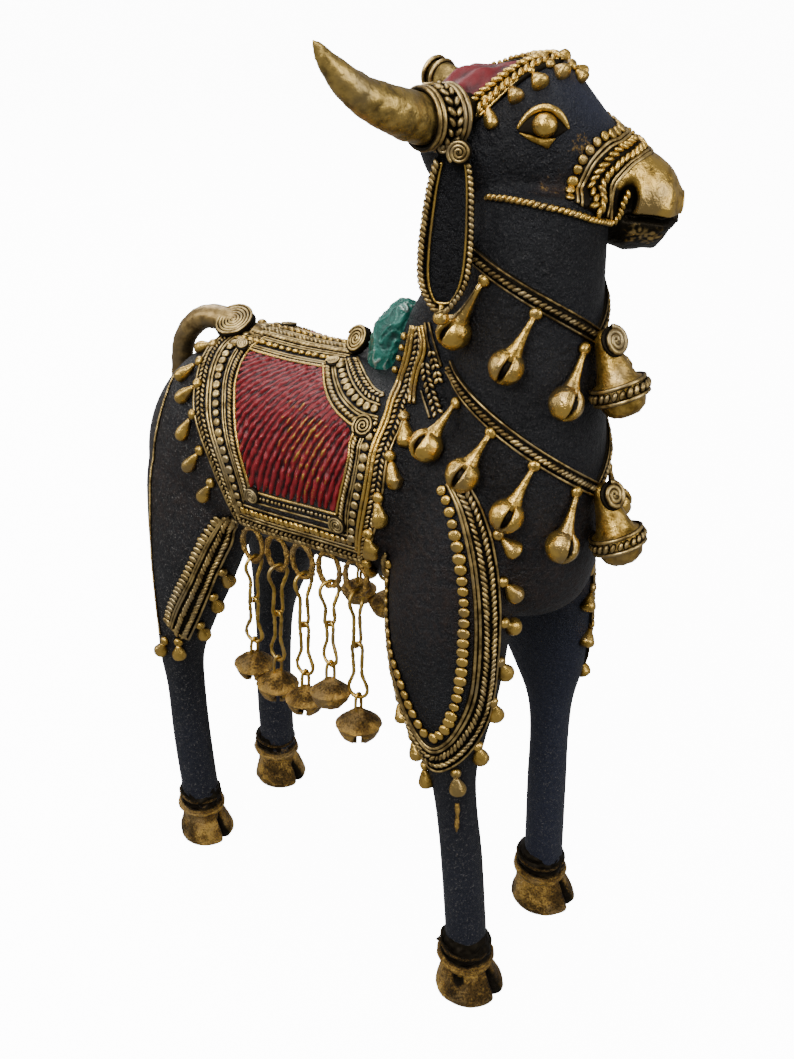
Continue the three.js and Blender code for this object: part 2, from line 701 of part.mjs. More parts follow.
// Pellet bell, hanging down from the origin: two shallow cones that meet at a sharp rim, hollow,
// with a slit below and a wire shank on top.
function bellShape(width) {
  const half = width / 2;
  const tall = bellHeight * width;
  const profile = [[0, -0.5], [0.66, -0.36], [1, 0], [0, 0.5]];
  const hollow = [[0, -0.38], [0.78, 0], [0, 0.32]];
  const [shell, inside] = [[profile, 8], [hollow, 4]].map(([rows, sides]) => {
    const points = rows.map(([r, h]) => new THREE.Vector2(r * half, h * tall));
    return solidOf(new THREE.LatheGeometry(points, sides).rotateX(Math.PI / 2));
  });
  const slit = new THREE.BoxGeometry(half * 1.2, 1.4, tall * 0.5).translate(0, 0, -tall * 0.45);
  const root = tall * 0.36;
  const wide = (linkNarrow - wire) / 2;
  const arch = steps(0, Math.PI, 4).map((angle) => {
    const narrowing = 0.7 + 0.3 * Math.sin(angle);
    const climb = (shankHeight - wire / 2) * Math.sin(angle) ** 0.8;
    return v3(0, Math.cos(angle) * wide * narrowing, root + climb);
  });
  const shank = bar(arch, arch.map(() => wire / 2), 3);
  const bell = shell.subtract(inside).subtract(solidOf(slit)).add(shank);
  return bell.translate([0, 0, -root - shankHeight + wire / 2]);
}

// The casting, built up in turn
let casting = barrelSolid().add(neckSolid()).add(headSolid());
casting = casting.add(humpSolid()).add(tailSolid());
const legs = [
  [rightForeLeg, 1, true],
  [leftForeLeg, -1, true],
  [rightHindLeg, 1, false],
  [leftHindLeg, -1, false],
];
for (const [stations, side, fore] of legs) {
  casting = casting.add(legSolid(stations, side));
  const foot = legAt(stations, stations[0][0]);
  casting = casting.add(hoofSolid(foot.x, side * foot.y, fore ? foreHoofWidth : hindHoofWidth));
}
casting = casting.add(clothSolid());
for (const [stations, side, fore] of legs) {
  casting = casting.add(fore ? shoulderBorder(stations, side) : thighSolid(stations, side));
}
casting = casting.add(browSolid()).add(muzzleSolid()).subtract(mouthCut());
for (const side of [-1, 1]) {
  casting = casting.add(hornSolid(side)).add(earSolid(side)).add(eyeSolid(side));
}
for (const necklace of necklaces) {
  casting = casting.add(necklaceSolid(necklace));
  casting = casting.add(frontBell(necklace.front + 0.025));
  for (const degrees of necklace.pendants) {
    for (const side of [-1, 1]) casting = casting.add(pendantSolid(necklace, degrees, side));
  }
}
const tailDisc = new THREE.CylinderGeometry(tailDiscWidth * 0.375, tailDiscWidth / 2, 3, 8);
tailDisc.rotateX(Math.PI / 2 + 0.5).translate(-57, -3, backHeight + 2.4);
casting = casting.add(solidOf(tailDisc));

// Drops along the edges of the cloth, the shoulder panels, the thigh bands and the brow
function addDrop(at) {
  casting = casting.add(dropOn(at, dropLength, dropWidth / 2));
}
for (const side of [-1, 1]) {
  for (const degrees of [28, 42, 56, 70, 84, 98]) {
    const [, rear] = between(clothEdges, degrees);
    addDrop((s) => barrelPoint(rear - 3 - 8 * s, side * (degrees + 3 * s), 0.2));
  }
}
for (const [stations, side, fore] of legs) {
  if (fore) {
    for (const t of [0.16, 0.32, 0.48, 0.64]) {
      addDrop((s) => shoulderPoint(stations, side, t - 0.05 * s, 1.16 + 0.2 * s, -0.3));
    }
    for (const back of [0, 9]) {
      const low = shoulderPoint(stations, side, 0, 0, 0.6);
      addDrop((s) => low.clone().add(v3(-back, 0, 1 + back * 1.5 - 7 * s)));
    }
  } else {
    for (const along of [0.36, 0.56, 0.76]) {
      addDrop((s) => thighPoint(stations, side, 1.12 + 0.3 * s, along + 0.08 * s, -0.6));
    }
    for (const share of [0.1, 0.6]) {
      addDrop((s) => thighPoint(stations, side, share, 1, -0.2).add(v3(0, 0, -2 - 7 * s)));
    }
  }
}
for (const degrees of [14, 30, 48]) {
  for (const side of [-1, 1]) {
    addDrop((s) => headPoint(browAt(degrees) + 4 + 6 * s, side * (degrees + 8 * s), 0.4));
  }
}
for (const side of [-1, 1]) {
  chainRows.forEach((_, i) => { casting = casting.add(ovalSolid(i, side)); });
}

const figure = new THREE.Group();
const castingMesh = new THREE.Mesh(geometryOf(casting), patina);
castingMesh.name = "bull_casting";
figure.add(castingMesh);

// Chains: an upper link, a lower link and a bell in every loop. The pieces of a chain lie on one
// line, and each piece is turned a quarter about that line from the piece above it.
const inLoop = (thick, thin) => (thick + thin) / 2 + clearance;
function hang(name, solid, material, top, lean, turn) {
  const mesh = new THREE.Mesh(geometryOf(solid), material);
  mesh.name = name;
  mesh.quaternion.setFromUnitVectors(up, lean.clone().negate());
  mesh.quaternion.multiply(new THREE.Quaternion().setFromAxisAngle(up, radians(turn)));
  mesh.position.copy(top);
  figure.add(mesh);
}
for (const [side, word] of [[1, "right"], [-1, "left"]]) {
  chainRows.forEach(([length, swingX, swingOut, turn, bellWidth], i) => {
    const reach = 2 * length + shankHeight;
    const lean = v3(swingX, -side * swingOut, -reach).normalize();
    const step = length - wire - inLoop(wire, wire);
    const top = hangPoint(i, side).addScaledVector(lean, -inLoop(ovalWire, wire));
    const names = ["upper_link", "lower_link", "bell"].map((kind) => `${word}_${kind}_${i + 1}`);
    const lower = side * (turn - crossTurn);
    hang(names[0], linkShape(length, true), brassWire, top, lean, side * turn);
    top.addScaledVector(lean, step);
    hang(names[1], linkShape(length, false), brassWire, top, lean, lower);
    top.addScaledVector(lean, step);
    hang(names[2], bellShape(bellWidth), brassCast, top, lean, side * turn - 90);
  });
}

// The origin is the bottom centre of the whole figure.
const box = new THREE.Box3().setFromObject(figure);
const middle = box.getCenter(v3(0, 0, 0));
const bull = new THREE.Group();
figure.position.set(-middle.x, -middle.y, -box.min.z);
bull.add(figure);

export default bull;
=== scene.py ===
# %% [markdown]
# # A cast brass bull in festival dress
# The real figure is made by the lost-wax thread method. The founder shapes a clay core, covers it
# with a skin of wax, lays wax threads, balls and twists on that skin as ornament, packs it in clay
# and pours brass where the wax was. This lesson works in the same order: first a smooth skin, then
# threads and beads laid on it, then the loose chains, then the finishes.

# %% Load the frame
import math

import bpy
import numpy as np
from mathutils import Matrix, Quaternion, Vector, noise
from mathutils.bvhtree import BVHTree


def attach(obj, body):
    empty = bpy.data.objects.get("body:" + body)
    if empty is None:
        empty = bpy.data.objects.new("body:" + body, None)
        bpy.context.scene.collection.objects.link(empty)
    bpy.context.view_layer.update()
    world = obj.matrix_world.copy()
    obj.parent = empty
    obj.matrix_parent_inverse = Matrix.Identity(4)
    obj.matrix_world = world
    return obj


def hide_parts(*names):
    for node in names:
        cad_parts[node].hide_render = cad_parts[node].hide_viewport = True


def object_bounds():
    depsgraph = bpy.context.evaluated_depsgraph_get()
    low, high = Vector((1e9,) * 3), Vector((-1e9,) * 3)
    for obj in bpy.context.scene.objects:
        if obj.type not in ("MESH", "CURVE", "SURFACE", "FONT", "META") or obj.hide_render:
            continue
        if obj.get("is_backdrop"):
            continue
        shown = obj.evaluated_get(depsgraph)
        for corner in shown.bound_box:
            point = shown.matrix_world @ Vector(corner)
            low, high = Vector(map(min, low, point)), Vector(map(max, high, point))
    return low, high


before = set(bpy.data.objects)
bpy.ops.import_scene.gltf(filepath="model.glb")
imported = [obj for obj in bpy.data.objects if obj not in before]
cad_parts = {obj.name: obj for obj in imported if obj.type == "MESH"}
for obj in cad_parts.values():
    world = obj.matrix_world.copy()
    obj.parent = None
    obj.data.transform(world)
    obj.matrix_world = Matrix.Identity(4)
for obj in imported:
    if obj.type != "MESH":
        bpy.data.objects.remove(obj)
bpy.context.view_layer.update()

# %% [markdown]
# ## The maker's frame
# Sizes are in millimetres in the founder's own frame: +X to the bull's front, +Y to its left, +Z up,
# with zero on the floor between the feet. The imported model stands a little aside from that, because
# its origin is the middle of its box. The shift is read off the right fore sole, whose place is
# known in both frames, so that nothing is fitted by eye.

# %% Driving sizes and the shift
FOOT_SPAN, FORE_TRACK, HIND_TRACK = 150, 60, 51
BACK, BARREL_DEEP, BARREL_WIDE = 244, 79, 75
HEAD_HIGH, HEAD_YAW, HEAD_ROLL = 327, 29, 8
LEG_WIDE, FORE_HOOF, HIND_HOOF, HOOF_HIGH = 15.5, 27.6, 25, 18
BAND_RISE = 1.3
FORE_X, HIND_X = FOOT_SPAN / 2, -FOOT_SPAN / 2
FORE_Y, HIND_Y = -FORE_TRACK / 2, -HIND_TRACK / 2


def measured_shift():
    """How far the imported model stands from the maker's frame, from the right fore sole."""
    points = np.array([v.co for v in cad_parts["bull_casting"].data.vertices]) * 1000
    sole = points[(points[:, 2] < 0.1) & (points[:, 0] > 0)]
    sole = sole[sole[:, 1] < sole[:, 1].mean()]
    back_of_sole = FORE_X - 1 - 0.94 * FORE_HOOF / 2
    middle_y = (sole[:, 1].min() + sole[:, 1].max()) / 2
    return np.array([sole[:, 0].min() - back_of_sole, middle_y - FORE_Y, 0])


SHIFT = measured_shift()


def in_row(points):
    """Millimetres in the maker's frame to metres in the row frame."""
    return (np.asarray(points, float) + SHIFT) / 1000


print("shift, mm:", SHIFT.round(3))

# %% [markdown]
# ## The camera
# The photograph looks down on the bull from its right front quarter. The place and the lens were
# found by lining up the feet, the chains and the horn. The lens is given as pixels of the picture,
# because that is what such a fit gives, and turned into millimetres here.

# %% Camera
PHOTO_WIDE, PHOTO_HIGH = 794, 1059
LENS_PIXELS = 1250
CAMERA_AT = np.array([258.3, -336.7, 409.4])
CAMERA_TURN, CAMERA_DOWN = math.radians(35.611), math.radians(29.034)

camera = bpy.data.objects.new("camera", bpy.data.cameras.new("camera"))
bpy.context.collection.objects.link(camera)
camera.data.sensor_width = 36
camera.data.lens = LENS_PIXELS * 36 / PHOTO_HIGH
camera.data.clip_start, camera.data.clip_end = 0.01, 50
camera.location = in_row(CAMERA_AT)
camera.rotation_euler = (math.pi / 2 - CAMERA_DOWN, 0, CAMERA_TURN)
bpy.context.scene.camera = camera
print("lens, mm:", round(camera.data.lens, 2))

# %% [markdown]
# ## Smooth rows
# A body is drawn as a row of stations: how high, how wide and how deep it is at a few places. The
# skin between stations follows a smooth curve through them, as wax is drawn over a core.

# %% Reading between stations


def between(rows, where):
    """Smooth values between given rows. The first value of each row is where it lies."""
    rows = np.asarray(rows, float)
    last = len(rows) - 1
    k = int(np.clip(np.searchsorted(rows[:, 0], where, side="left") - 1, 0, last - 1))
    near, far = rows[k], rows[k + 1]
    before, after = rows[max(k - 1, 0)], rows[min(k + 2, last)]
    span = far[0] - near[0]
    t = min(max((where - near[0]) / span, 0), 1)
    start = far - near if k == 0 else span * (far - before) / (far[0] - before[0])
    end = far - near if k == last - 1 else span * (after - near) / (after[0] - near[0])
    value = ((2 * t**3 - 3 * t**2 + 1) * near + (t**3 - 2 * t**2 + t) * start
             + (3 * t**2 - 2 * t**3) * far + (t**3 - t**2) * end)
    return value[1:]


def rounded(angle, power):
    """Cosine and sine of a superellipse: power 2 is round, more is squarer."""
    c, s = math.cos(angle), math.sin(angle)
    return math.copysign(abs(c) ** (2 / power), c), math.copysign(abs(s) ** (2 / power), s)


print("a quarter of the way:", between([[0, 1], [10, 3], [20, 2]], 5))

# %% [markdown]
# ## Four bodies
# The barrel, the neck, the head and the legs are each a function that gives the point at a place
# along the body and an angle round it. The same functions carry the ornament later, so a band said
# to lie at 92 degrees round the barrel lies there on the skin too.

# %% Barrel and neck
RUMP_X = HIND_X - 23
BARREL_ROWS = [
    [RUMP_X, 0.36, 0.04, 0.3], [RUMP_X + 3, 0.5, -0.06, 0.48], [RUMP_X + 11, 0.7, -0.06, 0.68],
    [RUMP_X + 23, 0.86, -0.03, 0.84], [RUMP_X + 42, 0.97, 0.0, 0.96], [-20, 0.99, 0.0, 1.0],
    [10, 1.02, 0.02, 1.0], [35, 1.04, 0.03, 0.98], [60, 1.0, 0.05, 0.86], [78, 0.9, 0.1, 0.62],
]


def on_barrel(x, degrees, rise=0):
    """Degrees run from the spine, 0, over the right side, 90, to the belly."""
    top, bottom, wide = between(BARREL_ROWS, x)
    floor = BACK - BARREL_DEEP
    middle, tall = floor + BARREL_DEEP * (top + bottom) / 2, BARREL_DEEP * (top - bottom) / 2
    c, s = rounded(math.radians(degrees), 2.25)
    return np.array([x, -(BARREL_WIDE / 2 * wide + rise) * s, middle + (tall + rise) * c])


CHEST_HIGH, NECK_TOP = BACK - 66, HEAD_HIGH - 20
NECK_ROWS = [
    [-0.06, 73, 13, 14], [-0.02, 72, 21, 21], [0.05, 72, 24.5, 27], [0.2, 71.5, 26.5, 30],
    [0.38, 70.5, 27, 28.5], [0.55, 70, 26, 25], [0.75, 69, 24.5, 22], [0.95, 69, 23.5, 21],
    [1.08, 70, 22, 19.5],
]


def on_neck(share, degrees, rise=0):
    """Share runs up the neck. Degrees run from the front, 0, over the right side to the nape."""
    x, deep, wide = between(NECK_ROWS, share)
    a = math.radians(degrees)
    high = CHEST_HIGH + (NECK_TOP - CHEST_HIGH) * share
    return np.array([x + (deep + rise) * math.cos(a), -(wide + rise) * math.sin(a), high])


print("flank, mm:", on_barrel(0, 90).round(1), "throat:", on_neck(0.5, 0).round(1))

# %% [markdown]
# The head has a frame of its own, turned to the bull's left and rolled a little, and its rows run
# from the nape to the lips. A leg's rows run up from the hoof. They could be plain cones, but the
# thigh and the shoulder swell out of the body and need rows of their own.

# %% Head and legs
HEAD_PLACE = (Matrix.Translation((60, 0, HEAD_HIGH)) @ Matrix.Rotation(math.radians(HEAD_YAW), 4, "Z")
              @ Matrix.Rotation(math.radians(HEAD_ROLL), 4, "X"))
HEAD_ROWS = [
    [-28, 8, -2, 6], [-25, 14, -9, 11], [-17, 19, -17, 16.5], [-5, 22.5, -22, 19], [8, 25.5, -23, 19],
    [16, 24.5, -24, 18], [24, 15.5, -26, 15.5], [32, 6, -29, 13], [41, -1, -32, 12],
    [48, -6.5, -32.5, 10], [52, -13, -23, 4],
]


def in_head(a, b, c):
    return np.array(HEAD_PLACE @ Vector((a, b, c)))


def on_head(a, degrees, rise=0):
    """Degrees run from the crown, 0, over the right cheek, 90, to the jaw."""
    top, bottom, wide = between(HEAD_ROWS, a)
    angle = math.radians(degrees)
    c = (top + bottom) / 2 + ((top - bottom) / 2 + rise) * math.cos(angle)
    return in_head(a, -(wide + rise) * math.sin(angle), c)


HALF_LEG = LEG_WIDE / 2
RIGHT_FORE = [
    [8, FORE_X - 1, HALF_LEG, FORE_Y, HALF_LEG], [66, FORE_X - 6.2, HALF_LEG, FORE_Y + 0.5, HALF_LEG - 0.3],
    [92, FORE_X - 9.2, HALF_LEG - 0.2, FORE_Y, HALF_LEG - 0.3],
    [108, FORE_X - 11, HALF_LEG + 1.5, FORE_Y - 0.5, HALF_LEG + 0.3], [124, FORE_X - 13.5, 14.8, FORE_Y - 0.5, 9.5],
    [146, FORE_X - 15.5, 20.6, FORE_Y + 1, 11.8], [178, FORE_X - 16.3, 23.3, FORE_Y + 3.5, 14],
    [208, FORE_X - 15.5, 20, FORE_Y + 7, 14], [230, FORE_X - 15, 13, FORE_Y + 12, 12],
    [242, FORE_X - 15, 5, FORE_Y + 15, 7],
]
RIGHT_HIND = [
    [8, HIND_X, HALF_LEG, HIND_Y, HALF_LEG], [54, HIND_X - 3, HALF_LEG, HIND_Y - 0.2, HALF_LEG],
    [84, HIND_X - 3.4, HALF_LEG, HIND_Y - 0.4, HALF_LEG], [100, HIND_X - 3, 9, HIND_Y - 1, 8.8],
    [118, HIND_X + 0.8, 12.4, HIND_Y - 1, 10.5], [142, HIND_X + 6, 18.8, HIND_Y + 0.5, 12.4],
    [168, HIND_X + 9.3, 25, HIND_Y + 4, 13.8], [190, HIND_X + 11, 26, HIND_Y + 7, 14],
    [208, HIND_X + 14, 19, HIND_Y + 9, 12], [220, HIND_X + 16, 8, HIND_Y + 11, 8],
]


def ramp(value, low, high):
    return min(max((value - low) / (high - low), 0), 1)


# The left legs stand a little differently from the right ones.
LEFT_FORE = [[z, x + 7 * ramp(z, 20, 100) - 5 * ramp(z, 124, 174), *rest] for z, x, *rest in RIGHT_FORE]
LEFT_HIND = [[z, x + 2 + 4.8 * ramp(z, 20, 90), *rest] for z, x, *rest in RIGHT_HIND]
# Each leg: its rows, 1 on the right and -1 on the left, and whether it is a foreleg.
LEGS = [(RIGHT_FORE, 1, True), (LEFT_FORE, -1, True), (RIGHT_HIND, 1, False), (LEFT_HIND, -1, False)]


def on_leg(rows, side, z, degrees, rise=0):
    """Degrees run from the front, 0, over the outer face, 90, to the back."""
    x, deep, y, wide = between(rows, z)
    c, s = rounded(math.radians(degrees), 2.2)
    return np.array([x + (deep + rise) * c, side * (y - (wide + rise) * s), z])


print("hoof, mm:", on_leg(RIGHT_FORE, 1, 8, 90).round(1), "nose:", on_head(52, 0).round(1))

# %% [markdown]
# ## Forms
# Every shape is kept as plain arrays until the end: points, faces, and for each point its crest, 0
# in a hollow and 1 on a high spot. Old brass is dark in the hollows and bright where hands rub it,
# so the crest is what the finishes read later. Arrays are quick, and a shape can be stamped a
# thousand times without a thousand objects.

# %% A form and its mesh


class Form:
    def __init__(self, points, quads=(), tris=(), crest=1.0):
        self.points = np.asarray(points, float).reshape(-1, 3)
        self.quads = np.asarray(quads, int).reshape(-1, 4)
        self.tris = np.asarray(tris, int).reshape(-1, 3)
        self.crest = np.array(np.broadcast_to(np.asarray(crest, float).ravel(), len(self.points)))


def joined(forms):
    """Several forms as one, with nothing merged."""
    starts = np.cumsum([0] + [len(f.points) for f in forms[:-1]])
    return Form(np.concatenate([f.points for f in forms]),
                np.concatenate([f.quads + s for f, s in zip(forms, starts)]),
                np.concatenate([f.tris + s for f, s in zip(forms, starts)]),
                np.concatenate([f.crest for f in forms]))


def lofted(rings, crest=1.0, closed=False):
    """A skin over rings with the same number of points, capped at both ends unless it closes."""
    rings = np.asarray(rings, float)
    count, around = rings.shape[:2]
    index = np.arange(count * around).reshape(count, around)
    if closed:
        index = np.vstack([index, index[:1]])
    a, b = index[:-1], index[1:]
    quads = np.stack([a, np.roll(a, -1, 1), np.roll(b, -1, 1), b], -1).reshape(-1, 4)
    points, tris = rings.reshape(-1, 3), []
    crest = np.array(np.broadcast_to(np.asarray(crest, float), (count, around))).ravel()
    if not closed:
        points = np.vstack([points, rings[0].mean(0), rings[-1].mean(0)])
        crest = np.append(crest, [crest[:around].mean(), crest[-around:].mean()])
        first, last = index[0], index[-1]
        near, far = np.full(around, count * around), np.full(around, count * around + 1)
        tris = np.concatenate([np.stack([near, np.roll(first, -1), first], -1),
                               np.stack([far, last, np.roll(last, -1)], -1)])
    return Form(points, quads, tris, crest)


def grown(at, firsts, seconds):
    """What a function gives at each pair of places: one array for each thing that it gives."""
    made = [[at(first, second) for second in seconds] for first in firsts]
    return [np.array([[cell[k] for cell in row] for row in made]) for k in range(len(made[0][0]))]


def sheet(rows, crest):
    """An open skin over a grid of points."""
    index = np.arange(rows.shape[0] * rows.shape[1]).reshape(rows.shape[:2])
    a, b = index[:-1], index[1:]
    return Form(rows, np.stack([a[:, :-1], a[:, 1:], b[:, 1:], b[:, :-1]], -1), (), crest)


def outward(form):
    """The form with its faces turned to point out."""
    corners = form.points[np.vstack([form.quads[:, :3], form.quads[:, [0, 2, 3]], form.tris])]
    volume = np.einsum("ij,ij->i", corners[:, 0], np.cross(corners[:, 1], corners[:, 2])).sum()
    if volume < 0:
        form.quads, form.tris = form.quads[:, ::-1], form.tris[:, ::-1]
    return form


def mirrored(form):
    """The form on the other side of the bull."""
    return Form(form.points * (1, -1, 1), form.quads[:, ::-1], form.tris[:, ::-1], form.crest)


def mesh_of(name, form, finish_of_face=None, attributes=None):
    """A smooth-shaded mesh from a form, in the row frame, with its crest as an attribute."""
    mesh = bpy.data.meshes.new(name)
    quads, tris = len(form.quads), len(form.tris)
    mesh.vertices.add(len(form.points))
    mesh.vertices.foreach_set("co", in_row(form.points).ravel())
    mesh.loops.add(4 * quads + 3 * tris)
    mesh.loops.foreach_set("vertex_index", np.concatenate([form.quads.ravel(), form.tris.ravel()]))
    mesh.polygons.add(quads + tris)
    starts = np.concatenate([4 * np.arange(quads), 4 * quads + 3 * np.arange(tris)])
    mesh.polygons.foreach_set("loop_start", starts)
    mesh.polygons.foreach_set("use_smooth", np.ones(quads + tris, bool))
    if finish_of_face is not None:
        mesh.polygons.foreach_set("material_index", finish_of_face)
    mesh.update(calc_edges=True)
    for key, values in {"crest": form.crest, **(attributes or {})}.items():
        mesh.attributes.new(key, "FLOAT", "POINT").data.foreach_set("value", values.astype(np.float32))
    mesh.validate()
    return mesh


print("a sheet of 3 by 4 points:", len(sheet(np.zeros((3, 4, 3)), 1.0).quads), "faces")

# %% [markdown]
# ## Finishes
# The brass is black with patina in the hollows and rubbed to gold on the crests. A finish could be
# painted on by hand, but then each new bead would need painting. Here it is a recipe of nodes that
# reads the crest, and these few helpers keep the recipes short.

# %% Node helpers


def new_finish(name):
    material = bpy.data.materials.new(name)
    material.use_nodes = True
    return material, material.node_tree, material.node_tree.nodes["Principled BSDF"]


def noise_node(tree, scale, detail=4.0, rough=0.55):
    """Noise in metres of the object's own place; scale is in waves per metre."""
    where = tree.nodes.new("ShaderNodeTexCoord")
    texture = tree.nodes.new("ShaderNodeTexNoise")
    for key, number in (("Scale", scale), ("Detail", detail), ("Roughness", rough)):
        texture.inputs[key].default_value = number
    tree.links.new(where.outputs["Object"], texture.inputs["Vector"])
    return texture.outputs["Fac"]


def maths(tree, kind, *values):
    node = tree.nodes.new("ShaderNodeMath")
    node.operation = kind
    for socket, value in zip(node.inputs, values):
        if isinstance(value, (int, float)):
            socket.default_value = value
        else:
            tree.links.new(value, socket)
    return node.outputs[0]


def stirred(tree, value, texture, amount):
    """A value shifted up and down by a noise."""
    return maths(tree, "ADD", value, maths(tree, "MULTIPLY_ADD", texture, amount, -amount / 2))


def spread(tree, value, low, high, to_low=0.0, to_high=1.0):
    """Maps low to high onto to_low to to_high, smoothly and clamped."""
    node = tree.nodes.new("ShaderNodeMapRange")
    node.interpolation_type = "SMOOTHSTEP"
    tree.links.new(value, node.inputs["Value"])
    for key, number in (("From Min", low), ("From Max", high), ("To Min", to_low), ("To Max", to_high)):
        node.inputs[key].default_value = number
    return node.outputs["Result"]


def mixed(tree, factor, first, second):
    """A colour between two, each a colour or another node's colour."""
    node = tree.nodes.new("ShaderNodeMix")
    node.data_type = "RGBA"
    tree.links.new(factor, node.inputs["Factor"])
    for socket, colour in ((node.inputs["A"], first), (node.inputs["B"], second)):
        if isinstance(colour, tuple):
            socket.default_value = (*colour, 1)
        else:
            tree.links.new(colour, socket)
    return node.outputs["Result"]


def read(tree, name):
    node = tree.nodes.new("ShaderNodeAttribute")
    node.attribute_name = name
    return node.outputs["Fac"]


def grain(tree, shader, height, distance):
    bump = tree.nodes.new("ShaderNodeBump")
    bump.inputs["Distance"].default_value = distance
    tree.links.new(height, bump.inputs["Height"])
    tree.links.new(bump.outputs["Normal"], shader.inputs["Normal"])


print("node helpers ready")

# %% [markdown]
# Six settings of one recipe give the dull gold of the threads, the bright gold of drops and bells,
# the chain wire, the rough castings, the horn and the tail. The recipe mixes from dark to bright by
# the crest, broken up by noise, so that no two beads wear alike.

# %% The brasses
DEEP = (0.012, 0.009, 0.005)


def bright_of(colour):
    """The greyer, browner tone that the bright metal takes where it has tarnished."""
    mean = sum(colour) / 3
    return tuple(0.82 * c + 0.18 * mean for c in colour)


def brass(name, dull, bright, wear, rough, grain_high=0.00012, grain_scale=900, mottle=(0.5, 0.36)):
    """Brass that is dark where the crest is low. Wear is the crest at which gold starts and is full.
    Mottle is how much the broad patches and the fine grain shift that."""
    material, tree, shader = new_finish(name)
    patch = noise_node(tree, 260, 3)
    fine = noise_node(tree, grain_scale, 5, 0.6)
    worn = stirred(tree, stirred(tree, read(tree, "crest"), patch, mottle[0]), fine, mottle[1])
    gold = spread(tree, worn, *wear)
    polish = spread(tree, maths(tree, "ADD", worn, patch), wear[1] + 0.25, wear[1] + 0.85)
    tarnish = spread(tree, noise_node(tree, 75, 3), 0.5, 0.66)
    metal = mixed(tree, tarnish, mixed(tree, polish, dull, bright), tuple(0.62 * c for c in bright_of(bright)))
    colour = mixed(tree, gold, DEEP, metal)
    tree.links.new(colour, shader.inputs["Base Color"])
    tree.links.new(spread(tree, worn, wear[0], wear[1] + 0.4, rough[1], rough[0]), shader.inputs["Roughness"])
    shader.inputs["Metallic"].default_value = 0.92
    grain(tree, shader, maths(tree, "ADD", fine, patch), grain_high)
    return material


THREAD = brass("thread_brass", (0.14, 0.09, 0.03), (0.62, 0.44, 0.165), (0.42, 0.86), (0.27, 0.56))
BRIGHT = brass("polished_brass", (0.21, 0.12, 0.02), (0.66, 0.42, 0.095), (0.16, 0.62), (0.2, 0.44), 0.00032, 620)
WIRE = brass("wire_brass", (0.30, 0.18, 0.03), (0.68, 0.44, 0.10), (0.2, 0.7), (0.26, 0.5))
ROUGH = brass("rough_brass", (0.15, 0.085, 0.022), (0.56, 0.34, 0.085), (0.28, 0.78), (0.28, 0.55), 0.0011, 1300,
              (0.3, 0.95))
HORN_BRASS = brass("horn_brass", (0.17, 0.115, 0.035), (0.56, 0.38, 0.105), (0.1, 0.7), (0.3, 0.52),
                   0.00025, 800)
TAIL_BRASS = brass("tail_brass", (0.16, 0.10, 0.035), (0.40, 0.27, 0.10), (0.1, 0.6), (0.34, 0.55), 0.0002, 700)
print("brasses:", [m.name for m in (THREAD, BRIGHT, WIRE, ROUGH, HORN_BRASS, TAIL_BRASS)])

# %% [markdown]
# The body is blackened all over. A cool blue sheen is painted into its colour on the forehead, the
# left foreleg and low down. Fine pale specks are partly sand dust and partly painted glints of light,
# thicker towards the rump and low down, and rust-brown patches lie where it has been handled. A black
# paint would look flat, so the colour comes from three noises of different size, and the brass shows
# through in small specks.

# %% The black skin


def black_skin(name):
    material, tree, shader = new_finish(name)
    broad = noise_node(tree, 32, 4)
    speck = noise_node(tree, 1500, 2, 0.7)
    mark = noise_node(tree, 420, 5, 0.65)
    cool = mixed(tree, spread(tree, broad, 0.35, 0.7), (0.0017, 0.0018, 0.0026), (0.0052, 0.0056, 0.0074))
    # Painted sheen: a cool blue is mixed into the black on the forehead, the left foreleg and low down.
    cool = mixed(tree, read(tree, "painted_blue_sheen"), cool, (0.012, 0.0148, 0.028))
    brown = spread(tree, stirred(tree, read(tree, "brown"), mark, 0.9), 0.35, 0.95)
    colour = mixed(tree, brown, cool, (0.026, 0.014, 0.009))
    # Pale specks, partly sand dust and partly painted glints of light, thicker where the map is high.
    specks_and_glints = maths(tree, "MULTIPLY", spread(tree, speck, 0.59, 0.69), read(tree, "dust_and_glints"))
    colour = mixed(tree, specks_and_glints, colour, (0.14, 0.13, 0.12))
    gilt = stirred(tree, stirred(tree, read(tree, "gilt"), mark, 1.1), speck, 0.5)
    gilt = spread(tree, gilt, 0.42, 0.75)
    colour = mixed(tree, gilt, colour, (0.34, 0.20, 0.045))
    tree.links.new(colour, shader.inputs["Base Color"])
    tree.links.new(spread(tree, gilt, 0, 1, 0.0, 0.95), shader.inputs["Metallic"])
    shader.inputs["Specular IOR Level"].default_value = 0.24
    tree.links.new(spread(tree, mark, 0.3, 0.7, 0.34, 0.52), shader.inputs["Roughness"])
    grain(tree, shader, maths(tree, "ADD", maths(tree, "MULTIPLY", speck, 0.6), mark), 0.0011)
    return material


SKIN = black_skin("black_patina")
print("nodes of the black skin:", len(SKIN.node_tree.nodes))

# %% [markdown]
# The fields of the cloth and the poll are painted crimson and the hump is painted green, over the
# same metal. Paint fills the hollows and rubs off the ribs, so it is the brass recipe turned round.
# Each paint also runs from its full colour on the crests to a dark copy of it in the hollows, which
# is painted shade.

# %% The paints


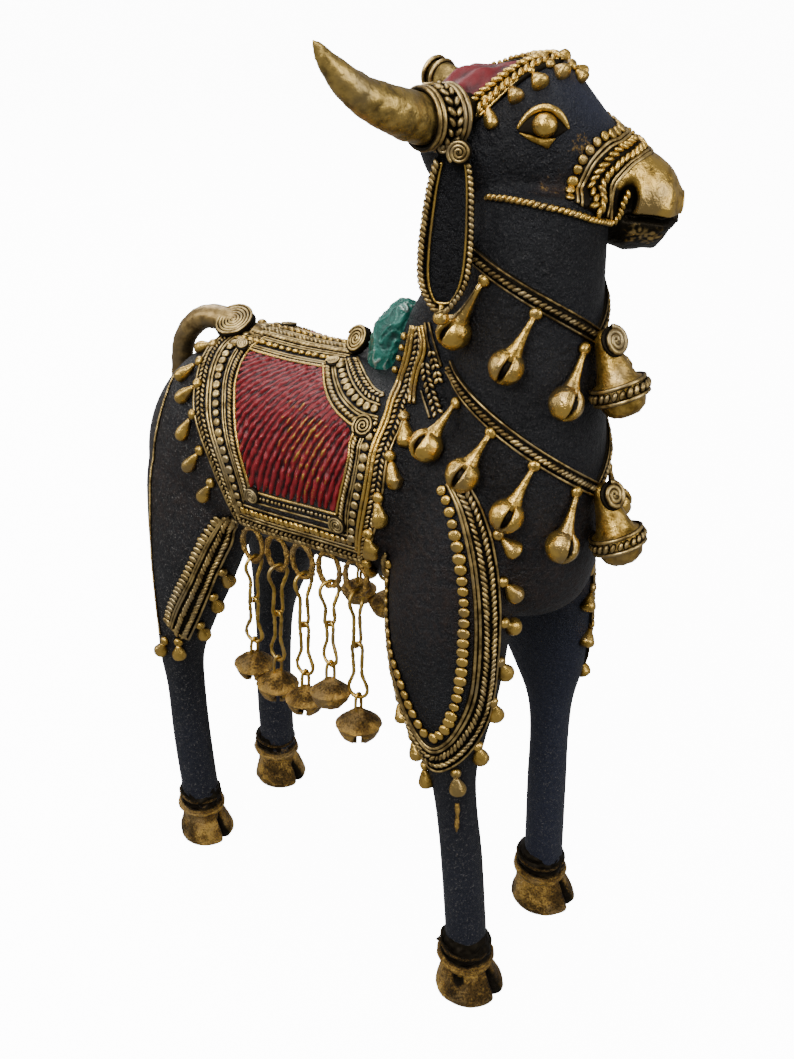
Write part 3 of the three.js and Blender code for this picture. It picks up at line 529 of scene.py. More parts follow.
def paint(name, deep, full, worn_and_sheen_colour, rough, wear=(0.72, 1.0), coat=0.12):
    material, tree, shader = new_finish(name)
    patch = noise_node(tree, 210, 5, 0.6)
    fine = noise_node(tree, 1300, 3)
    crest = read(tree, "crest")
    # Painted shade: the paint runs from its full colour on the crests to a dark copy of it in the hollows.
    colour = mixed(tree, spread(tree, stirred(tree, crest, patch, 0.9), 0.0, 0.75), deep, full)
    rubbed_and_sheen = stirred(tree, maths(tree, "MULTIPLY", crest, read(tree, "rubbed_and_sheen")), fine, 0.6)
    rubbed_and_sheen = spread(tree, rubbed_and_sheen, *wear)
    # Where the crest is marked as rubbed the worn colour shows: worn brass on the crimson paints, and on the green
    # partly worn paint and partly a painted highlight.
    tree.links.new(mixed(tree, rubbed_and_sheen, colour, worn_and_sheen_colour), shader.inputs["Base Color"])
    tree.links.new(spread(tree, rubbed_and_sheen, 0, 1, 0.25, 0.9), shader.inputs["Metallic"])
    tree.links.new(spread(tree, patch, 0.3, 0.7, rough, rough + 0.18), shader.inputs["Roughness"])
    shader.inputs["Coat Weight"].default_value = coat
    shader.inputs["Coat Roughness"].default_value = 0.2
    grain(tree, shader, maths(tree, "ADD", fine, patch), 0.0002)
    return material


CRIMSON = paint("crimson_paint", (0.012, 0.0008, 0.0012), (0.20, 0.0035, 0.008), (0.42, 0.22, 0.04), 0.32)
POLL_RED = paint("poll_paint", (0.02, 0.0007, 0.0015), (0.13, 0.0015, 0.0045), (0.42, 0.22, 0.04), 0.55, coat=0.02)
# The green's pale grey-green on the highest folds is partly worn paint and partly a painted highlight.
GREEN = paint("green_paint", (0.001, 0.013, 0.011), (0.008, 0.12, 0.088), (0.34, 0.42, 0.37), 0.36,
              (0.62, 0.95), 0.06)
FINISHES = [SKIN, THREAD, BRIGHT, WIRE, ROUGH, HORN_BRASS, TAIL_BRASS, CRIMSON, POLL_RED, GREEN]
print("finishes:", [m.name for m in FINISHES])

# %% [markdown]
# ## A piece of the casting
# Forms with different finishes that sit on the same part of the bull go into one piece. The class
# below gathers them and makes the object. Everything rides on the one body, and the skin stands for
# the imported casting.

# %% Gathering a piece


class Piece:
    def __init__(self):
        self.forms = []

    def add(self, form, finish, both=False):
        """Takes a form in a finish, and its mirror image too if both is set."""
        self.forms.append((form, finish))
        if both:
            self.forms.append((mirrored(form), finish))

    def make(self, name, attributes=None):
        whole = joined([form for form, _ in self.forms])
        finishes = list(dict.fromkeys(finish for _, finish in self.forms))
        kind = [np.full(len(form.quads), finishes.index(finish)) for form, finish in self.forms]
        kind += [np.full(len(form.tris), finishes.index(finish)) for form, finish in self.forms]
        thing = bpy.data.objects.new(name, mesh_of(name, whole, np.concatenate(kind), attributes))
        for finish in finishes:
            thing.data.materials.append(finish)
        bpy.context.collection.objects.link(thing)
        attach(thing, "root")
        print(f"{name}: {2 * len(whole.quads) + len(whole.tris)} triangles")
        return thing


# %% [markdown]
# ## The skin
# The core could be modelled by pushing one mesh about, but then every change of a size would undo
# the work. Here each body is a loft, and a voxel remesh melts them into one skin, the way wax is
# smeared over a joint. A few rounds of smoothing take the voxel steps out and leave soft fillets.

# %% Lofts of the bodies
VOXEL = 1.5
SKIN_SIDES = 56


def spaced(low, high, step):
    return np.linspace(low, high, max(int(abs(high - low) / step) + 1, 2))


# The nape runs down to the hump in a web: its height, its rear edge and its half width.
NAPE_ROWS = [[236, 17, 19], [248, 19, 18], [260, 22, 16], [272, 27, 14.5], [284, 35, 14], [296, 45, 14]]


def nape_ring(height, turns):
    rear, wide = between(NAPE_ROWS, height)
    middle, half = (rear + 62) / 2, (62 - rear) / 2
    return [(middle + half * math.cos(math.radians(a)), -wide * math.sin(math.radians(a)), height) for a in turns]


def body_forms():
    turns = (np.arange(SKIN_SIDES) + 0.5) * 360 / SKIN_SIDES
    rows = [
        [[on_barrel(x, a) for a in turns] for x in spaced(RUMP_X, 78, 3)],
        [[on_neck(s, a) for a in turns] for s in spaced(-0.06, 1.08, 0.025)],
        [[on_head(x, a) for a in turns] for x in spaced(-28, 52, 2)],
        [nape_ring(z, turns) for z in spaced(236, 296, 3)],
    ]
    for leg, side, _ in LEGS:
        rows.append([[on_leg(leg, side, z, a, 0.3) for a in turns] for z in spaced(leg[0][0], leg[-1][0], 3)])
    return [outward(lofted(ring)) for ring in rows]


print("rings of a leg:", len(spaced(RIGHT_FORE[0][0], RIGHT_FORE[-1][0], 3)))

# %% [markdown]
# The saddle cloth is a slab over the back. Its front and rear edges are at a different place for
# each angle round the barrel, and its red field lies lower than its borders.

# %% The saddle cloth's slab
CLOTH_LOW = 121
CLOTH_EDGES = [[0, -63, 34], [20, -61, 34], [43, -56, 36], [64, -51, 38], [84, -42, 38], [101, -35, 34],
               [CLOTH_LOW, -32, 29]]
PANEL_TOP, PANEL_LOW = 18, 92
PANEL_EDGES = [[PANEL_TOP, -40, -3], [30, -38, 1], [43, -35, 10], [52, -32, 20], [70, -27, 22.5],
               [PANEL_LOW, -20, 19.5]]
CLOTH_RISE = BAND_RISE * 2


def cloth_slab():
    angles = spaced(-CLOTH_LOW, CLOTH_LOW, 4)
    rings = []
    for share in spaced(0, 1, 0.02):
        outer, inner = [], []
        for angle in angles:
            rear, front = between(CLOTH_EDGES, abs(angle))
            x = rear + (front - rear) * share
            panel_rear, panel_front = between(PANEL_EDGES, abs(angle))
            inside = PANEL_TOP < abs(angle) < PANEL_LOW and panel_rear < x < panel_front
            outer.append(on_barrel(x, angle, CLOTH_RISE - 1.6 if inside else CLOTH_RISE - 0.6))
            inner.append(on_barrel(x, angle, -2))
        rings.append(outer + inner[::-1])
    return outward(lofted(rings))


def melted(forms, voxel, smoothing):
    """One skin from overlapping forms, as points and faces in the maker's frame."""
    source = bpy.data.objects.new("core", mesh_of("core", joined(forms)))
    bpy.context.collection.objects.link(source)
    remesh = source.modifiers.new("melt", "REMESH")
    remesh.mode, remesh.voxel_size = "VOXEL", voxel / 1000
    smooth = source.modifiers.new("smooth", "SMOOTH")
    smooth.factor, smooth.iterations = 0.5, smoothing
    made = source.evaluated_get(bpy.context.evaluated_depsgraph_get()).to_mesh()
    points = np.empty(len(made.vertices) * 3)
    made.vertices.foreach_get("co", points)
    faces = [tuple(p.vertices) for p in made.polygons]
    source.to_mesh_clear()
    bpy.data.objects.remove(source)
    quads = [f for f in faces if len(f) == 4]
    tris = [f for f in faces if len(f) == 3]
    return Form(points.reshape(-1, 3) * 1000 - SHIFT, quads, tris, 0.0)


skin = melted(body_forms() + [cloth_slab()], VOXEL, 6)
print("skin points:", len(skin.points))

# %% [markdown]
# ## The ground under the ornament
# Threads are laid on the finished skin. A search tree gives the nearest point of the skin and the
# way it faces, so a thread planned on the smooth bodies still touches the melted skin.

# %% Settling on the skin
skin_faces = [tuple(f) for f in skin.quads] + [tuple(f) for f in skin.tris]
GROUND = BVHTree.FromPolygons([Vector(p) for p in skin.points], skin_faces)


def settled(points):
    """The nearest points of the skin and the directions it faces there."""
    found = [GROUND.find_nearest(Vector(p)) for p in np.asarray(points, float)]
    return np.array([f[0] for f in found]), np.array([f[1] for f in found])


def unit(vectors):
    return vectors / np.maximum(np.linalg.norm(vectors, axis=-1, keepdims=True), 1e-9)


def spot(u, v):
    """The point of the skin that shows at a pixel of the photograph, and the way it faces."""
    turn, down = CAMERA_TURN, CAMERA_DOWN
    back = np.array([math.sin(turn) * math.cos(down), -math.cos(turn) * math.cos(down), math.sin(down)])
    right = np.array([math.cos(turn), math.sin(turn), 0])
    rise = np.cross(back, right)
    ray = -back * LENS_PIXELS + right * (u - PHOTO_WIDE / 2) + rise * (PHOTO_HIGH / 2 - v)
    hit, normal, _, _ = GROUND.ray_cast(Vector(CAMERA_AT), Vector(ray).normalized())
    if hit is None:
        # The pixel lies just beside the bull, so the nearest point of the skin stands for it.
        along = CAMERA_AT + unit(ray) * np.arange(350, 750, 2)[:, None]
        found = [GROUND.find_nearest(Vector(p)) for p in along]
        hit, normal, _, _ = min(found, key=lambda f: f[3])
    return np.array(hit), np.array(normal)


print("skin at the middle of the barrel:", spot(300, 430)[0].round(1))

# %% [markdown]
# ## Lanes
# A lane is a line on the skin along which something is laid. It is cut into even steps, settled on
# the skin, and knows at each step which way is along, across and out.

# %% Lane


def evenly(points, step, closed=False):
    """Points at even steps along a smooth line through given points."""
    points = np.asarray(points, float)
    if closed:
        points = np.vstack([points, points[:1]])
    run = np.concatenate([[0], np.cumsum(np.linalg.norm(np.diff(points, axis=0), axis=1))])
    count = max(int(round(run[-1] / step)), 3)
    where = np.linspace(0, run[-1], count + 1)
    if closed:
        where = where[:-1]
    return np.stack([np.interp(where, run, points[:, k]) for k in range(3)], -1)


def softened(values, closed, rounds=2):
    for _ in range(rounds):
        if closed:
            values = (np.roll(values, 1, 0) + 2 * values + np.roll(values, -1, 0)) / 4
        else:
            values = np.vstack([values[:1], (values[:-2] + 2 * values[1:-1] + values[2:]) / 4, values[-1:]])
    return values


def smooth_path(points, count):
    """Points on a smooth curve through given ones, ends included."""
    points = np.asarray(points, float)
    run = np.concatenate([[0], np.cumsum(np.linalg.norm(np.diff(points, axis=0), axis=1) ** 0.5)])
    rows = np.column_stack([run, points])
    return np.array([between(rows, where) for where in np.linspace(0, run[-1], count)])


class Lane:
    def __init__(self, points, step=1.0, closed=False, hand=1, lift=0.0, loose=False):
        """Hand is -1 where the lane is a mirror image. A loose lane keeps its own height."""
        line = evenly(points, step, closed)
        ground, normals = settled(line)
        if not loose:
            line = ground
        self.closed, self.hand = closed, hand
        self.points = softened(line, closed)
        self.normals = unit(softened(normals, closed, 4))
        self.turn()
        self.points = self.points + self.normals * lift

    def turn(self):
        if self.closed:
            ahead = np.roll(self.points, -1, 0) - np.roll(self.points, 1, 0)
        else:
            ahead = np.gradient(self.points, axis=0)
        self.along = unit(ahead)
        self.across = unit(np.cross(self.normals, self.along)) * self.hand

    def moved(self, aside):
        """The same lane a little to the side."""
        return free_lane(self.points + self.across * aside, self.normals, self.closed, self.hand)

    def stations(self, pitch):
        """Places at even pitch: points, along, across and out."""
        ends = np.vstack([self.points, self.points[:1]]) if self.closed else self.points
        run = np.concatenate([[0], np.cumsum(np.linalg.norm(np.diff(ends, axis=0), axis=1))])
        count = max(int(round(run[-1] / pitch)), 1)
        where = (np.arange(count) + 0.5) * run[-1] / count
        keys = [np.vstack([a, a[:1]]) if self.closed else a
                for a in (self.points, self.along, self.across, self.normals)]
        return [np.stack([np.interp(where, run, k[:, i]) for i in range(3)], -1) for k in keys]


def free_lane(points, normals, closed=False, hand=1):
    """A lane that isn't settled: it keeps the points and the facing that it is given."""
    lane = object.__new__(Lane)
    lane.closed, lane.hand, lane.points = closed, hand, np.asarray(points, float)
    lane.normals = np.broadcast_to(np.asarray(normals, float), lane.points.shape)
    lane.turn()
    return lane


print("steps over the flank:", len(Lane([on_barrel(x, 90) for x in (-40, 0, 30)]).points))

# %% [markdown]
# ## Threads, beads and braids
# Four things are laid on lanes. A thread is a round wire. A row of grains is a line of small balls or
# leaves, which at a slant reads as twisted rope. A braid is two rows of leaves that meet in a V. A
# ribbon is the flat wax strip that the others lie on.

# %% What is laid on a lane


def circle(sides):
    """The cosines and sines of even turns."""
    turns = 2 * np.pi * np.arange(sides) / sides
    return np.cos(turns), np.sin(turns)


def swept(lane, across, up, crest):
    """A section carried along a lane: how far its points lie across and up, at every step or for all."""
    rings = (lane.points[:, None] + lane.across[:, None] * across[..., None]
             + lane.normals[:, None] * up[..., None])
    return outward(lofted(rings, np.broadcast_to(crest, rings.shape[:2]), lane.closed))


def thread(lane, radius, sides=6):
    """A round wire along a lane, a little sunk into it."""
    side, out = circle(sides)
    return swept(lane, lane.hand * radius * side, radius * (out + 0.35), 0.5 + 0.5 * out)


def tapered(lane, widths):
    """A round wire whose radius follows a list of numbers along the lane."""
    side, out = circle(10)
    here = np.linspace(0, 1, len(lane.points))
    radius = np.interp(here, np.linspace(0, 1, len(widths)), widths)[:, None]
    return swept(lane, radius * side, radius * (out + 0.3), 0.55 + 0.45 * out)


def ball(sides=8, rows=4):
    """A unit ball of few faces, low crest below and high crest on top."""
    rings = []
    for k in range(1, rows):
        a = math.pi * k / rows
        turns = 2 * np.pi * (np.arange(sides) + 0.5 * (k % 2)) / sides
        ring = np.stack([np.sin(a) * np.cos(turns), np.sin(a) * np.sin(turns), np.full(sides, np.cos(a))], -1)
        rings.append(ring)
    form = lofted(rings)
    form.points[-2:] = [(0, 0, 1), (0, 0, -1)]
    form.crest = np.clip(0.42 + 0.62 * form.points[:, 2], 0, 1)
    return outward(form)


def coin():
    """A flat-topped bead, bright all over its face, as beads are that were pressed on."""
    form = ball(12, 7)
    form.crest = np.clip(0.3 + 1.1 * form.points[:, 2], 0, 1)
    form.points[:, 2] = np.minimum(form.points[:, 2], 0.6 + 0.12 * form.points[:, 2])
    return form


BEAD, FINE_BEAD, COIN = ball(8, 4), ball(14, 8), coin()


print("beads:", len(BEAD.points), len(FINE_BEAD.points), len(COIN.points), "points")

# %% [markdown]
# A bead or a leaf is modelled once and stamped along the lane, each copy with its own directions. No
# two pressed beads are alike, so seeded dice change their size and place a little.

# %% Stamping along a lane


def stamped(form, places, xs, ys, zs):
    """Copies of a form, each with its own three directions, which also carry its size."""
    points = (places[:, None] + xs[:, None] * form.points[None, :, :1]
              + ys[:, None] * form.points[None, :, 1:2] + zs[:, None] * form.points[None, :, 2:])
    starts = (np.arange(len(places)) * len(form.points))[:, None, None]
    return Form(points.reshape(-1, 3), (form.quads[None] + starts).reshape(-1, 4),
                (form.tris[None] + starts).reshape(-1, 3), np.tile(form.crest, len(places)))


def one(form, place, x, y, z):
    """A single copy of a form."""
    return stamped(form, place[None], x[None], y[None], z[None])


dice = np.random.default_rng(7)


def grains(lane, pitch, long, wide, high, slant=0, form=None, uneven=0.08):
    """A row of balls or leaves: long and wide are full sizes, and slant turns each from the lane."""
    places, along, across, out = lane.stations(pitch)
    a = math.radians(slant)
    xs = along * math.cos(a) + across * math.sin(a)
    ys = np.cross(out, xs)
    size = 1 + uneven * dice.standard_normal((len(places), 1)).clip(-2, 2)
    places = places + out * high * 0.2 + along * pitch * 0.05 * dice.standard_normal((len(places), 1))
    return stamped(form or BEAD, places, xs * long / 2 * size, ys * wide / 2 * size, out * high * size)


def rope(lane, width, pitch=None):
    """A twisted strand: leaves set close at a slant."""
    pitch = pitch or width * 0.62
    return grains(lane, pitch, width * 1.25, pitch * 0.98, width * 0.42, 38, uneven=0.04)


def braid(lane, width, pitch=1.9, high=0.75, slant=38, full=0.7):
    """Two rows of leaves that meet in a V. Full is how much of the pitch a leaf fills."""
    rows = []
    long = max(width * 0.62, pitch * 1.25)
    for way in (-1, 1):
        row = lane.moved(way * width * 0.235)
        rows.append(grains(row, pitch, long, pitch * full, high, way * slant, uneven=0.06))
    return joined(rows)


def ribbon(lane, width, high):
    """A flat strip with soft edges, sunk into the skin, that the other work lies on."""
    across = np.array([-1, -0.97, -0.85, 0, 0.85, 0.97, 1]) * width / 2
    up = np.array([-1.2, high * 0.6, high, high, high, high * 0.6, -1.2])
    return swept(lane, across, up, np.where(np.abs(across) > 0.9 * width / 2, 0.25, 0.1))


def spiral(piece, place, out, size, turns=4.5, wire=0.55, lift=0.4, squeeze=1.0, deep=1.5):
    """A wire wound flat on a small disc."""
    out = unit(np.asarray(out, float))
    side = unit(np.cross(out, (0.3, 0.2, 1.0)))
    other = np.cross(out, side) * squeeze
    angle = np.linspace(0.6, 2 * np.pi * turns, int(turns * 22))[:, None]
    reach = angle / (2 * np.pi * turns) * (size / 2 - wire)
    line = place + out * (lift + wire * 0.5) + (side * np.cos(angle) + other * np.sin(angle)) * reach
    piece.add(thread(free_lane(line, out), wire), THREAD)
    c, s = circle(24)
    edge = side * c[:, None] + other * s[:, None]
    disc = [place + out * up + edge * size / 2 * share
            for up, share in ((-deep, 0.86), (lift, 0.92), (lift + 0.25, 0.86))]
    piece.add(outward(lofted(disc, 0.15)), THREAD)


print("laying tools ready")

# %% [markdown]
# ## Studs, drops and bells on stems
# Along every edge hang small cast drops: a round stud where the wax was pressed on, and a tear of
# metal below it. A lathe gives the tear, and its axis lies on the skin from the stud outward.

# %% Turned forms


def spun(profile, sides=14):
    """A lathe form about Z. The profile is rows of radius and height, and starts and ends on the axis."""
    c, s = circle(sides)
    form = lofted([np.stack([r * c, r * s, np.full(sides, z)], -1) for r, z in profile[1:-1]])
    form.points[-2:] = [(0, 0, profile[0][1]), (0, 0, profile[-1][1])]
    return outward(form)


# Radius and height of a tear of unit length: a thin neck above and a fat round end below.
TEAR_ROWS = [[0, 0], [0.11, -0.01], [0.17, -0.07], [0.23, -0.17], [0.3, -0.28], [0.38, -0.41], [0.45, -0.54],
             [0.495, -0.66], [0.5, -0.76], [0.46, -0.86], [0.36, -0.94], [0.21, -0.985], [0.08, -1], [0, -1]]
TEAR = spun(TEAR_ROWS, 16)


def placed(form, place, down, out, length, width, crest_from_out=True):
    """A lathe form laid on the skin: its axis runs down, and out is away from the skin."""
    down = unit(np.asarray(down, float))
    out = unit(out - down * np.dot(out, down))
    side = np.cross(down, out)
    points = one(form, place, side * width, out * width, -down * length).points
    crest = np.clip(0.62 + 0.75 * form.points[:, 1], 0, 1) if crest_from_out else form.crest
    dents = np.array([noise.noise(Vector(p) * 0.45) for p in points]) * 0.03 * width
    points = points + np.outer(dents, out) + np.outer(np.roll(dents, 3), side)
    return outward(Form(points, form.quads, form.tris, crest))


def stud(piece, place, out, size=4.2):
    """A pressed ball with a small pit on top."""
    out = unit(np.asarray(out, float))
    side = unit(np.cross(out, (0.2, 0.9, 0.1)))
    form = one(FINE_BEAD, place + out * size * 0.12, side * size / 2, np.cross(out, side) * size / 2,
               out * size * 0.44)
    pit = FINE_BEAD.points[:, 2] > 0.98
    form.points[pit] -= out * size * 0.08
    form.crest[pit] = 0.5
    piece.add(form, BRIGHT)


def creased(at, spur, turned, hand):
    """A tear that was pressed askew in the wax: a ridge across it, a spur to the front, a flat below."""
    form = spun(TEAR_ROWS, 24)
    x, y, z = form.points.T
    ridge = np.exp(-((-z - at) / 0.1) ** 2)
    flats = 1 - 0.2 * np.abs(np.sin(1.5 * np.arctan2(y, x) + turned)) * np.clip((-z - 0.25) / 0.2, 0, 1)
    front = np.clip(-hand * x / 0.3, 0, 1)
    x = x * flats - hand * spur * ridge * front
    y = y * flats * np.where(-z > at, 0.76, 1) + 0.12 * ridge * np.clip(y / 0.3, 0, 1)
    return Form(np.stack([x, y, z], -1), form.quads, form.tris, form.crest)


def drop(piece, place, towards, length=10.5, width=5.4, lift=0.9, studded=True, gap=2.6, tear=TEAR):
    """A stud at a place, and a tear that hangs from it towards another place."""
    (ground,), (out,) = settled([place])
    down = unit(np.asarray(towards, float) - ground)
    if studded:
        stud(piece, ground, out)
    top = ground + down * gap
    (end,), (out_end,) = settled([top + down * length * 0.75])
    down = unit(end + out_end * lift * 0.6 - top - out * lift * 0.3)
    piece.add(placed(tear, top + out * lift, down, unit(out + out_end), length, width), BRIGHT)


print("tear:", len(TEAR.points), "points")

# %% [markdown]
# Two small helpers finish the set. A bed is a raised strip that fills the space between several lines,
# for a band whose width changes. Dulling lowers the crest of a form, for work that lies deep or has
# kept its dark patina.

# %% Bed and dulling


def bed(lines, high=0.9, sink=1.0):
    """A raised strip over lines of points that have the same count, from one edge to the other."""
    laid = [settled(line) for line in lines]
    rows = [laid[0][0] - laid[0][1] * sink]
    for k, (ground, out) in enumerate(laid):
        edge = k in (0, len(laid) - 1)
        rows.append(ground + unit(softened(out, False, 3)) * high * (0.7 if edge else 1))
    rows.append(laid[-1][0] - laid[-1][1] * sink)
    return outward(lofted(np.stack(rows, 1), 0.12))


def dulled(form, share):
    return Form(form.points, form.quads, form.tris, form.crest * share)


print("bed and dulling ready")

# %% [markdown]
# ## The saddle cloth's borders
# The cloth is a frame of borders round two red fields. Each line of a border is told by its share of
# the way from the red field, 0, to the outer edge, 1, so the lines spread and close up as the border
# widens and narrows, as laid thread does. The rear and front borders run over the back in one piece.

# %% Lines of the cloth
ON_CLOTH = CLOTH_RISE - 0.6


def border_x(end, share, angle):
    """How far forward a border line lies at an angle: end 0 is the rear border and 1 the front one."""
    field, edge = between(PANEL_EDGES, angle)[end], between(CLOTH_EDGES, angle)[end]
    return field + (edge - field) * share


def border_low(share):
    """The angle at which a border line turns its lower corner."""
    return PANEL_LOW + (CLOTH_LOW - PANEL_LOW) * share


def rear_lane(share):
    """A line of the rear border, from the left low corner over the back to the right one."""
    low = border_low(share)
    return Lane([on_barrel(border_x(0, share, abs(a)), a, ON_CLOTH) for a in spaced(-low, low, 2.5)])


saddle = Piece()
saddle.add(thread(rear_lane(0.015), 0.6), BRIGHT)
saddle.add(rope(rear_lane(0.11), 2.3), THREAD)
for share, radius in ((0.215, 0.42), (0.27, 0.42), (0.545, 0.62), (0.62, 0.62), (0.945, 0.55)):
    saddle.add(thread(rear_lane(share), radius), THREAD)
saddle.add(grains(rear_lane(0.405), 3.5, 3.3, 3.5, 1.5, form=COIN), THREAD)
saddle.add(braid(rear_lane(0.785), 4.6), THREAD)
print("rear border:", len(saddle.forms), "forms")

# %% [markdown]
# The front border is straight below the corner spiral. Above it the red field is cut back by a
# collar of arcs round the foot of the hump, and only the outer lines of the border run on to the
# spine. Those outer lines follow a row of their own: how far forward each lies at an angle.

# %% The front border
OUTER_ROW = [[4, 22], [11, 27.4], [24, 29.3], [36, 32.3], [47, 33.2], [62, 32.4]]
OUTER_SHARE = 0.66


def front_line(share, top=51.0):
    """A line of the front border on the right side, from an upper angle down to the low corner."""
    points = []
    for angle in spaced(top, border_low(share), 2.5):
        if angle > 62:
            x = border_x(1, share, angle)
        else:
            x = between(OUTER_ROW, angle)[0] + (share - OUTER_SHARE) * 16.5
        points.append(on_barrel(x, angle, ON_CLOTH))
    return points


# Where the outer lines run up the nape on the photograph: at shares 0.63 and 0.985, from the top down.
RISING = [((414, 326), (422, 326)), ((411, 342), (424, 341)), ((409, 353), (423, 354)),
          ((405, 368), (419.5, 364)), ((400, 382), (416, 377))]


def rising_line(share):
    """An outer line of the front border, from its top on the nape down to the low corner."""
    part = (share - 0.63) / 0.355
    top = [spot(u0 + (u1 - u0) * part, v0 + (v1 - v0) * part)[0] for (u0, v0), (u1, v1) in RISING]
    return list(smooth_path(top + front_line(share, 32)[::3], 80)) + [front_line(share)[-1]]


for share, radius in ((0.02, 0.6), (0.25, 0.45), (0.31, 0.45)):
    saddle.add(thread(Lane(front_line(share, 53)), radius), BRIGHT if share < 0.1 else THREAD, True)
for share, radius in ((0.585, 0.75), (0.675, 0.75)):
    saddle.add(thread(Lane(rising_line(share), lift=0.2), radius), BRIGHT, True)
saddle.add(thread(Lane(front_line(0.985, 34), lift=0.2), 0.5), THREAD, True)
saddle.add(rope(Lane(front_line(0.14, 53)), 2.4), THREAD, True)
saddle.add(grains(Lane(front_line(0.44, 51)), 3.5, 3.3, 3.4, 1.5, form=COIN), THREAD, True)
saddle.add(braid(Lane(rising_line(0.835)), 4.4, 2.0), THREAD, True)
print("top of the front border, mm:", front_line(0.5)[0].round(1))

# %% [markdown]
# Where the hump stands in the way, the founder bent the threads round its foot in arcs. They can't
# be drawn as angles round the barrel alone, so two rows of places are given, at the red field and at
# the hump, and every arc lies at its share between them.

# %% The arcs at the foot of the hump
ARC_OUTER = [(-6, 16), (-2, 24), (3.1, 33), (8.9, 41), (14.5, 46), (22, 50), (31, 50)]
ARC_INNER = [(3, 5), (6.5, 9), (10.5, 14), (14.5, 19), (18, 23), (22, 27), (26.5, 29)]


def arc_line(share):
    """An arc on the right side. Share 0 is the edge of the red field, and 1 is next to the hump."""
    corners = [(x0 + (x1 - x0) * share, a0 + (a1 - a0) * share)
               for (x0, a0), (x1, a1) in zip(ARC_OUTER, ARC_INNER)]
    return [on_barrel(x, a, ON_CLOTH) for x, a in smooth_path([(x, a, 0) for x, a in corners], 60)[:, :2]]


for share, radius in ((0.0, 0.65), (0.27, 0.5), (0.34, 0.5), (0.66, 0.5), (1.0, 0.5)):
    saddle.add(thread(Lane(arc_line(share)), radius), BRIGHT if share < 0.1 else THREAD, True)
saddle.add(rope(Lane(arc_line(0.14)), 2.7, 2.0), THREAD, True)
saddle.add(grains(Lane(arc_line(0.51)), 3.2, 2.9, 3.5, 1.5, form=COIN), THREAD, True)
saddle.add(braid(Lane(arc_line(0.84)), 4.4, 2.2), THREAD, True)
print("an arc runs from", arc_line(0)[0].round(1), "to", arc_line(0)[-1].round(1))

# %% [markdown]
# The low border closes the frame between the two lower corners. It is the widest one, with a row of
# slanting beads and a braid, and its outer line is the edge that the chain loops hang from.

# %% The low border


def low_lane(share):
    """A line along the right side, between the rear and front borders."""
    degrees = border_low(share)
    rear, front = border_x(0, share, degrees), border_x(1, share, degrees)
    return Lane([on_barrel(x, degrees, ON_CLOTH) for x in spaced(rear, front, 2)])


for share, radius in ((0.02, 0.6), (0.2, 0.45), (0.33, 0.45), (0.56, 0.5), (0.64, 0.5), (0.93, 0.5), (1.0, 0.6)):
    saddle.add(thread(low_lane(share), radius), BRIGHT if share < 0.1 else THREAD, True)
saddle.add(grains(low_lane(0.1), 1.9, 1.7, 1.6, 0.8), THREAD, True)
saddle.add(grains(low_lane(0.445), 2.4, 2.3, 3.1, 1.3, 25, form=COIN), BRIGHT, True)
saddle.add(braid(low_lane(0.79), 4.8, 2.1, 0.95), THREAD, True)
print("low border, steps:", len(low_lane(0.5).points))

# %% [markdown]
# Along the spine a thick twist lies on top, with a row of bright leaves below it on each side. The
# corners of the red fields carry small wire spirals, and a large one sits before the tail.

# %% The top border and the spirals


def top_lane(degrees):
    return Lane([on_barrel(x, degrees, ON_CLOTH) for x in spaced(-52, 1 - degrees * 0.3, 2)])


for degrees, radius in ((17.5, 0.6), (15.3, 0.4), (13.8, 0.4), (6.6, 0.5), (4.7, 0.5)):
    saddle.add(thread(top_lane(degrees), radius), BRIGHT if degrees > 17 else THREAD, True)
saddle.add(grains(top_lane(10.2), 3.1, 3.3, 2.2, 1.2, 20), BRIGHT, True)
saddle.add(rope(top_lane(2.2), 3.0), THREAD, True)
saddle.add(thread(top_lane(0), 0.7), THREAD)

# Each free disc: its place, facing, width, windings, wire, lift and squeeze.
TAIL_DISC = (np.array([-57, -3, BACK + 3.6]), np.array([0.0, -math.sin(0.5), math.cos(0.5)]), 17, 6, 0.62, 0.4, 1.0)
HUMP_DISC = (np.array([1.0, -1.5, BACK + 8.5]), np.array([-0.1, -0.85, 0.5]), 9.4, 4, 0.6, 0.5, 1.25)
spiral(saddle, *TAIL_DISC)
# Where the small spirals sit on the photograph, and how wide each is in millimetres.
SMALL_SPIRALS = [(365, 427, 9.0), (254, 495, 7.2), (339, 524, 7.6), (334, 364, 6.0), (243, 347, 8.6)]
for u, v, size in SMALL_SPIRALS:
    place, out = spot(u, v)
    for side in (1, -1):
        spiral(saddle, place * (1, side, 1), out * (1, side, 1), size, 3.2, 0.5, 1.1,
               squeeze=0.6 if v == 347 else 1.0)
# The second disc stands against the back of the hump.
spiral(saddle, *HUMP_DISC)
# Both free discs are wound on their hidden side too, or they would look like black caps from there.
for place, out, size, turns, _, _, squeeze in (TAIL_DISC, HUMP_DISC):
    spiral(saddle, place - unit(out) * 1.1, -out, size, turns, 0.6, 0.4, squeeze, deep=0.6)
print("saddle work so far:", len(saddle.forms), "forms")

# %% [markdown]
# ## The red fields
# The real fields are wax threads laid side by side and painted. The ribs sweep up from the lower
# edge and bend forward. Shading them with a bump would leave a flat outline, so they are real
# relief: a fine grid whose height is a sharp crest between round valleys.

# %% Ribbed field
RIB_PITCH = 3.15


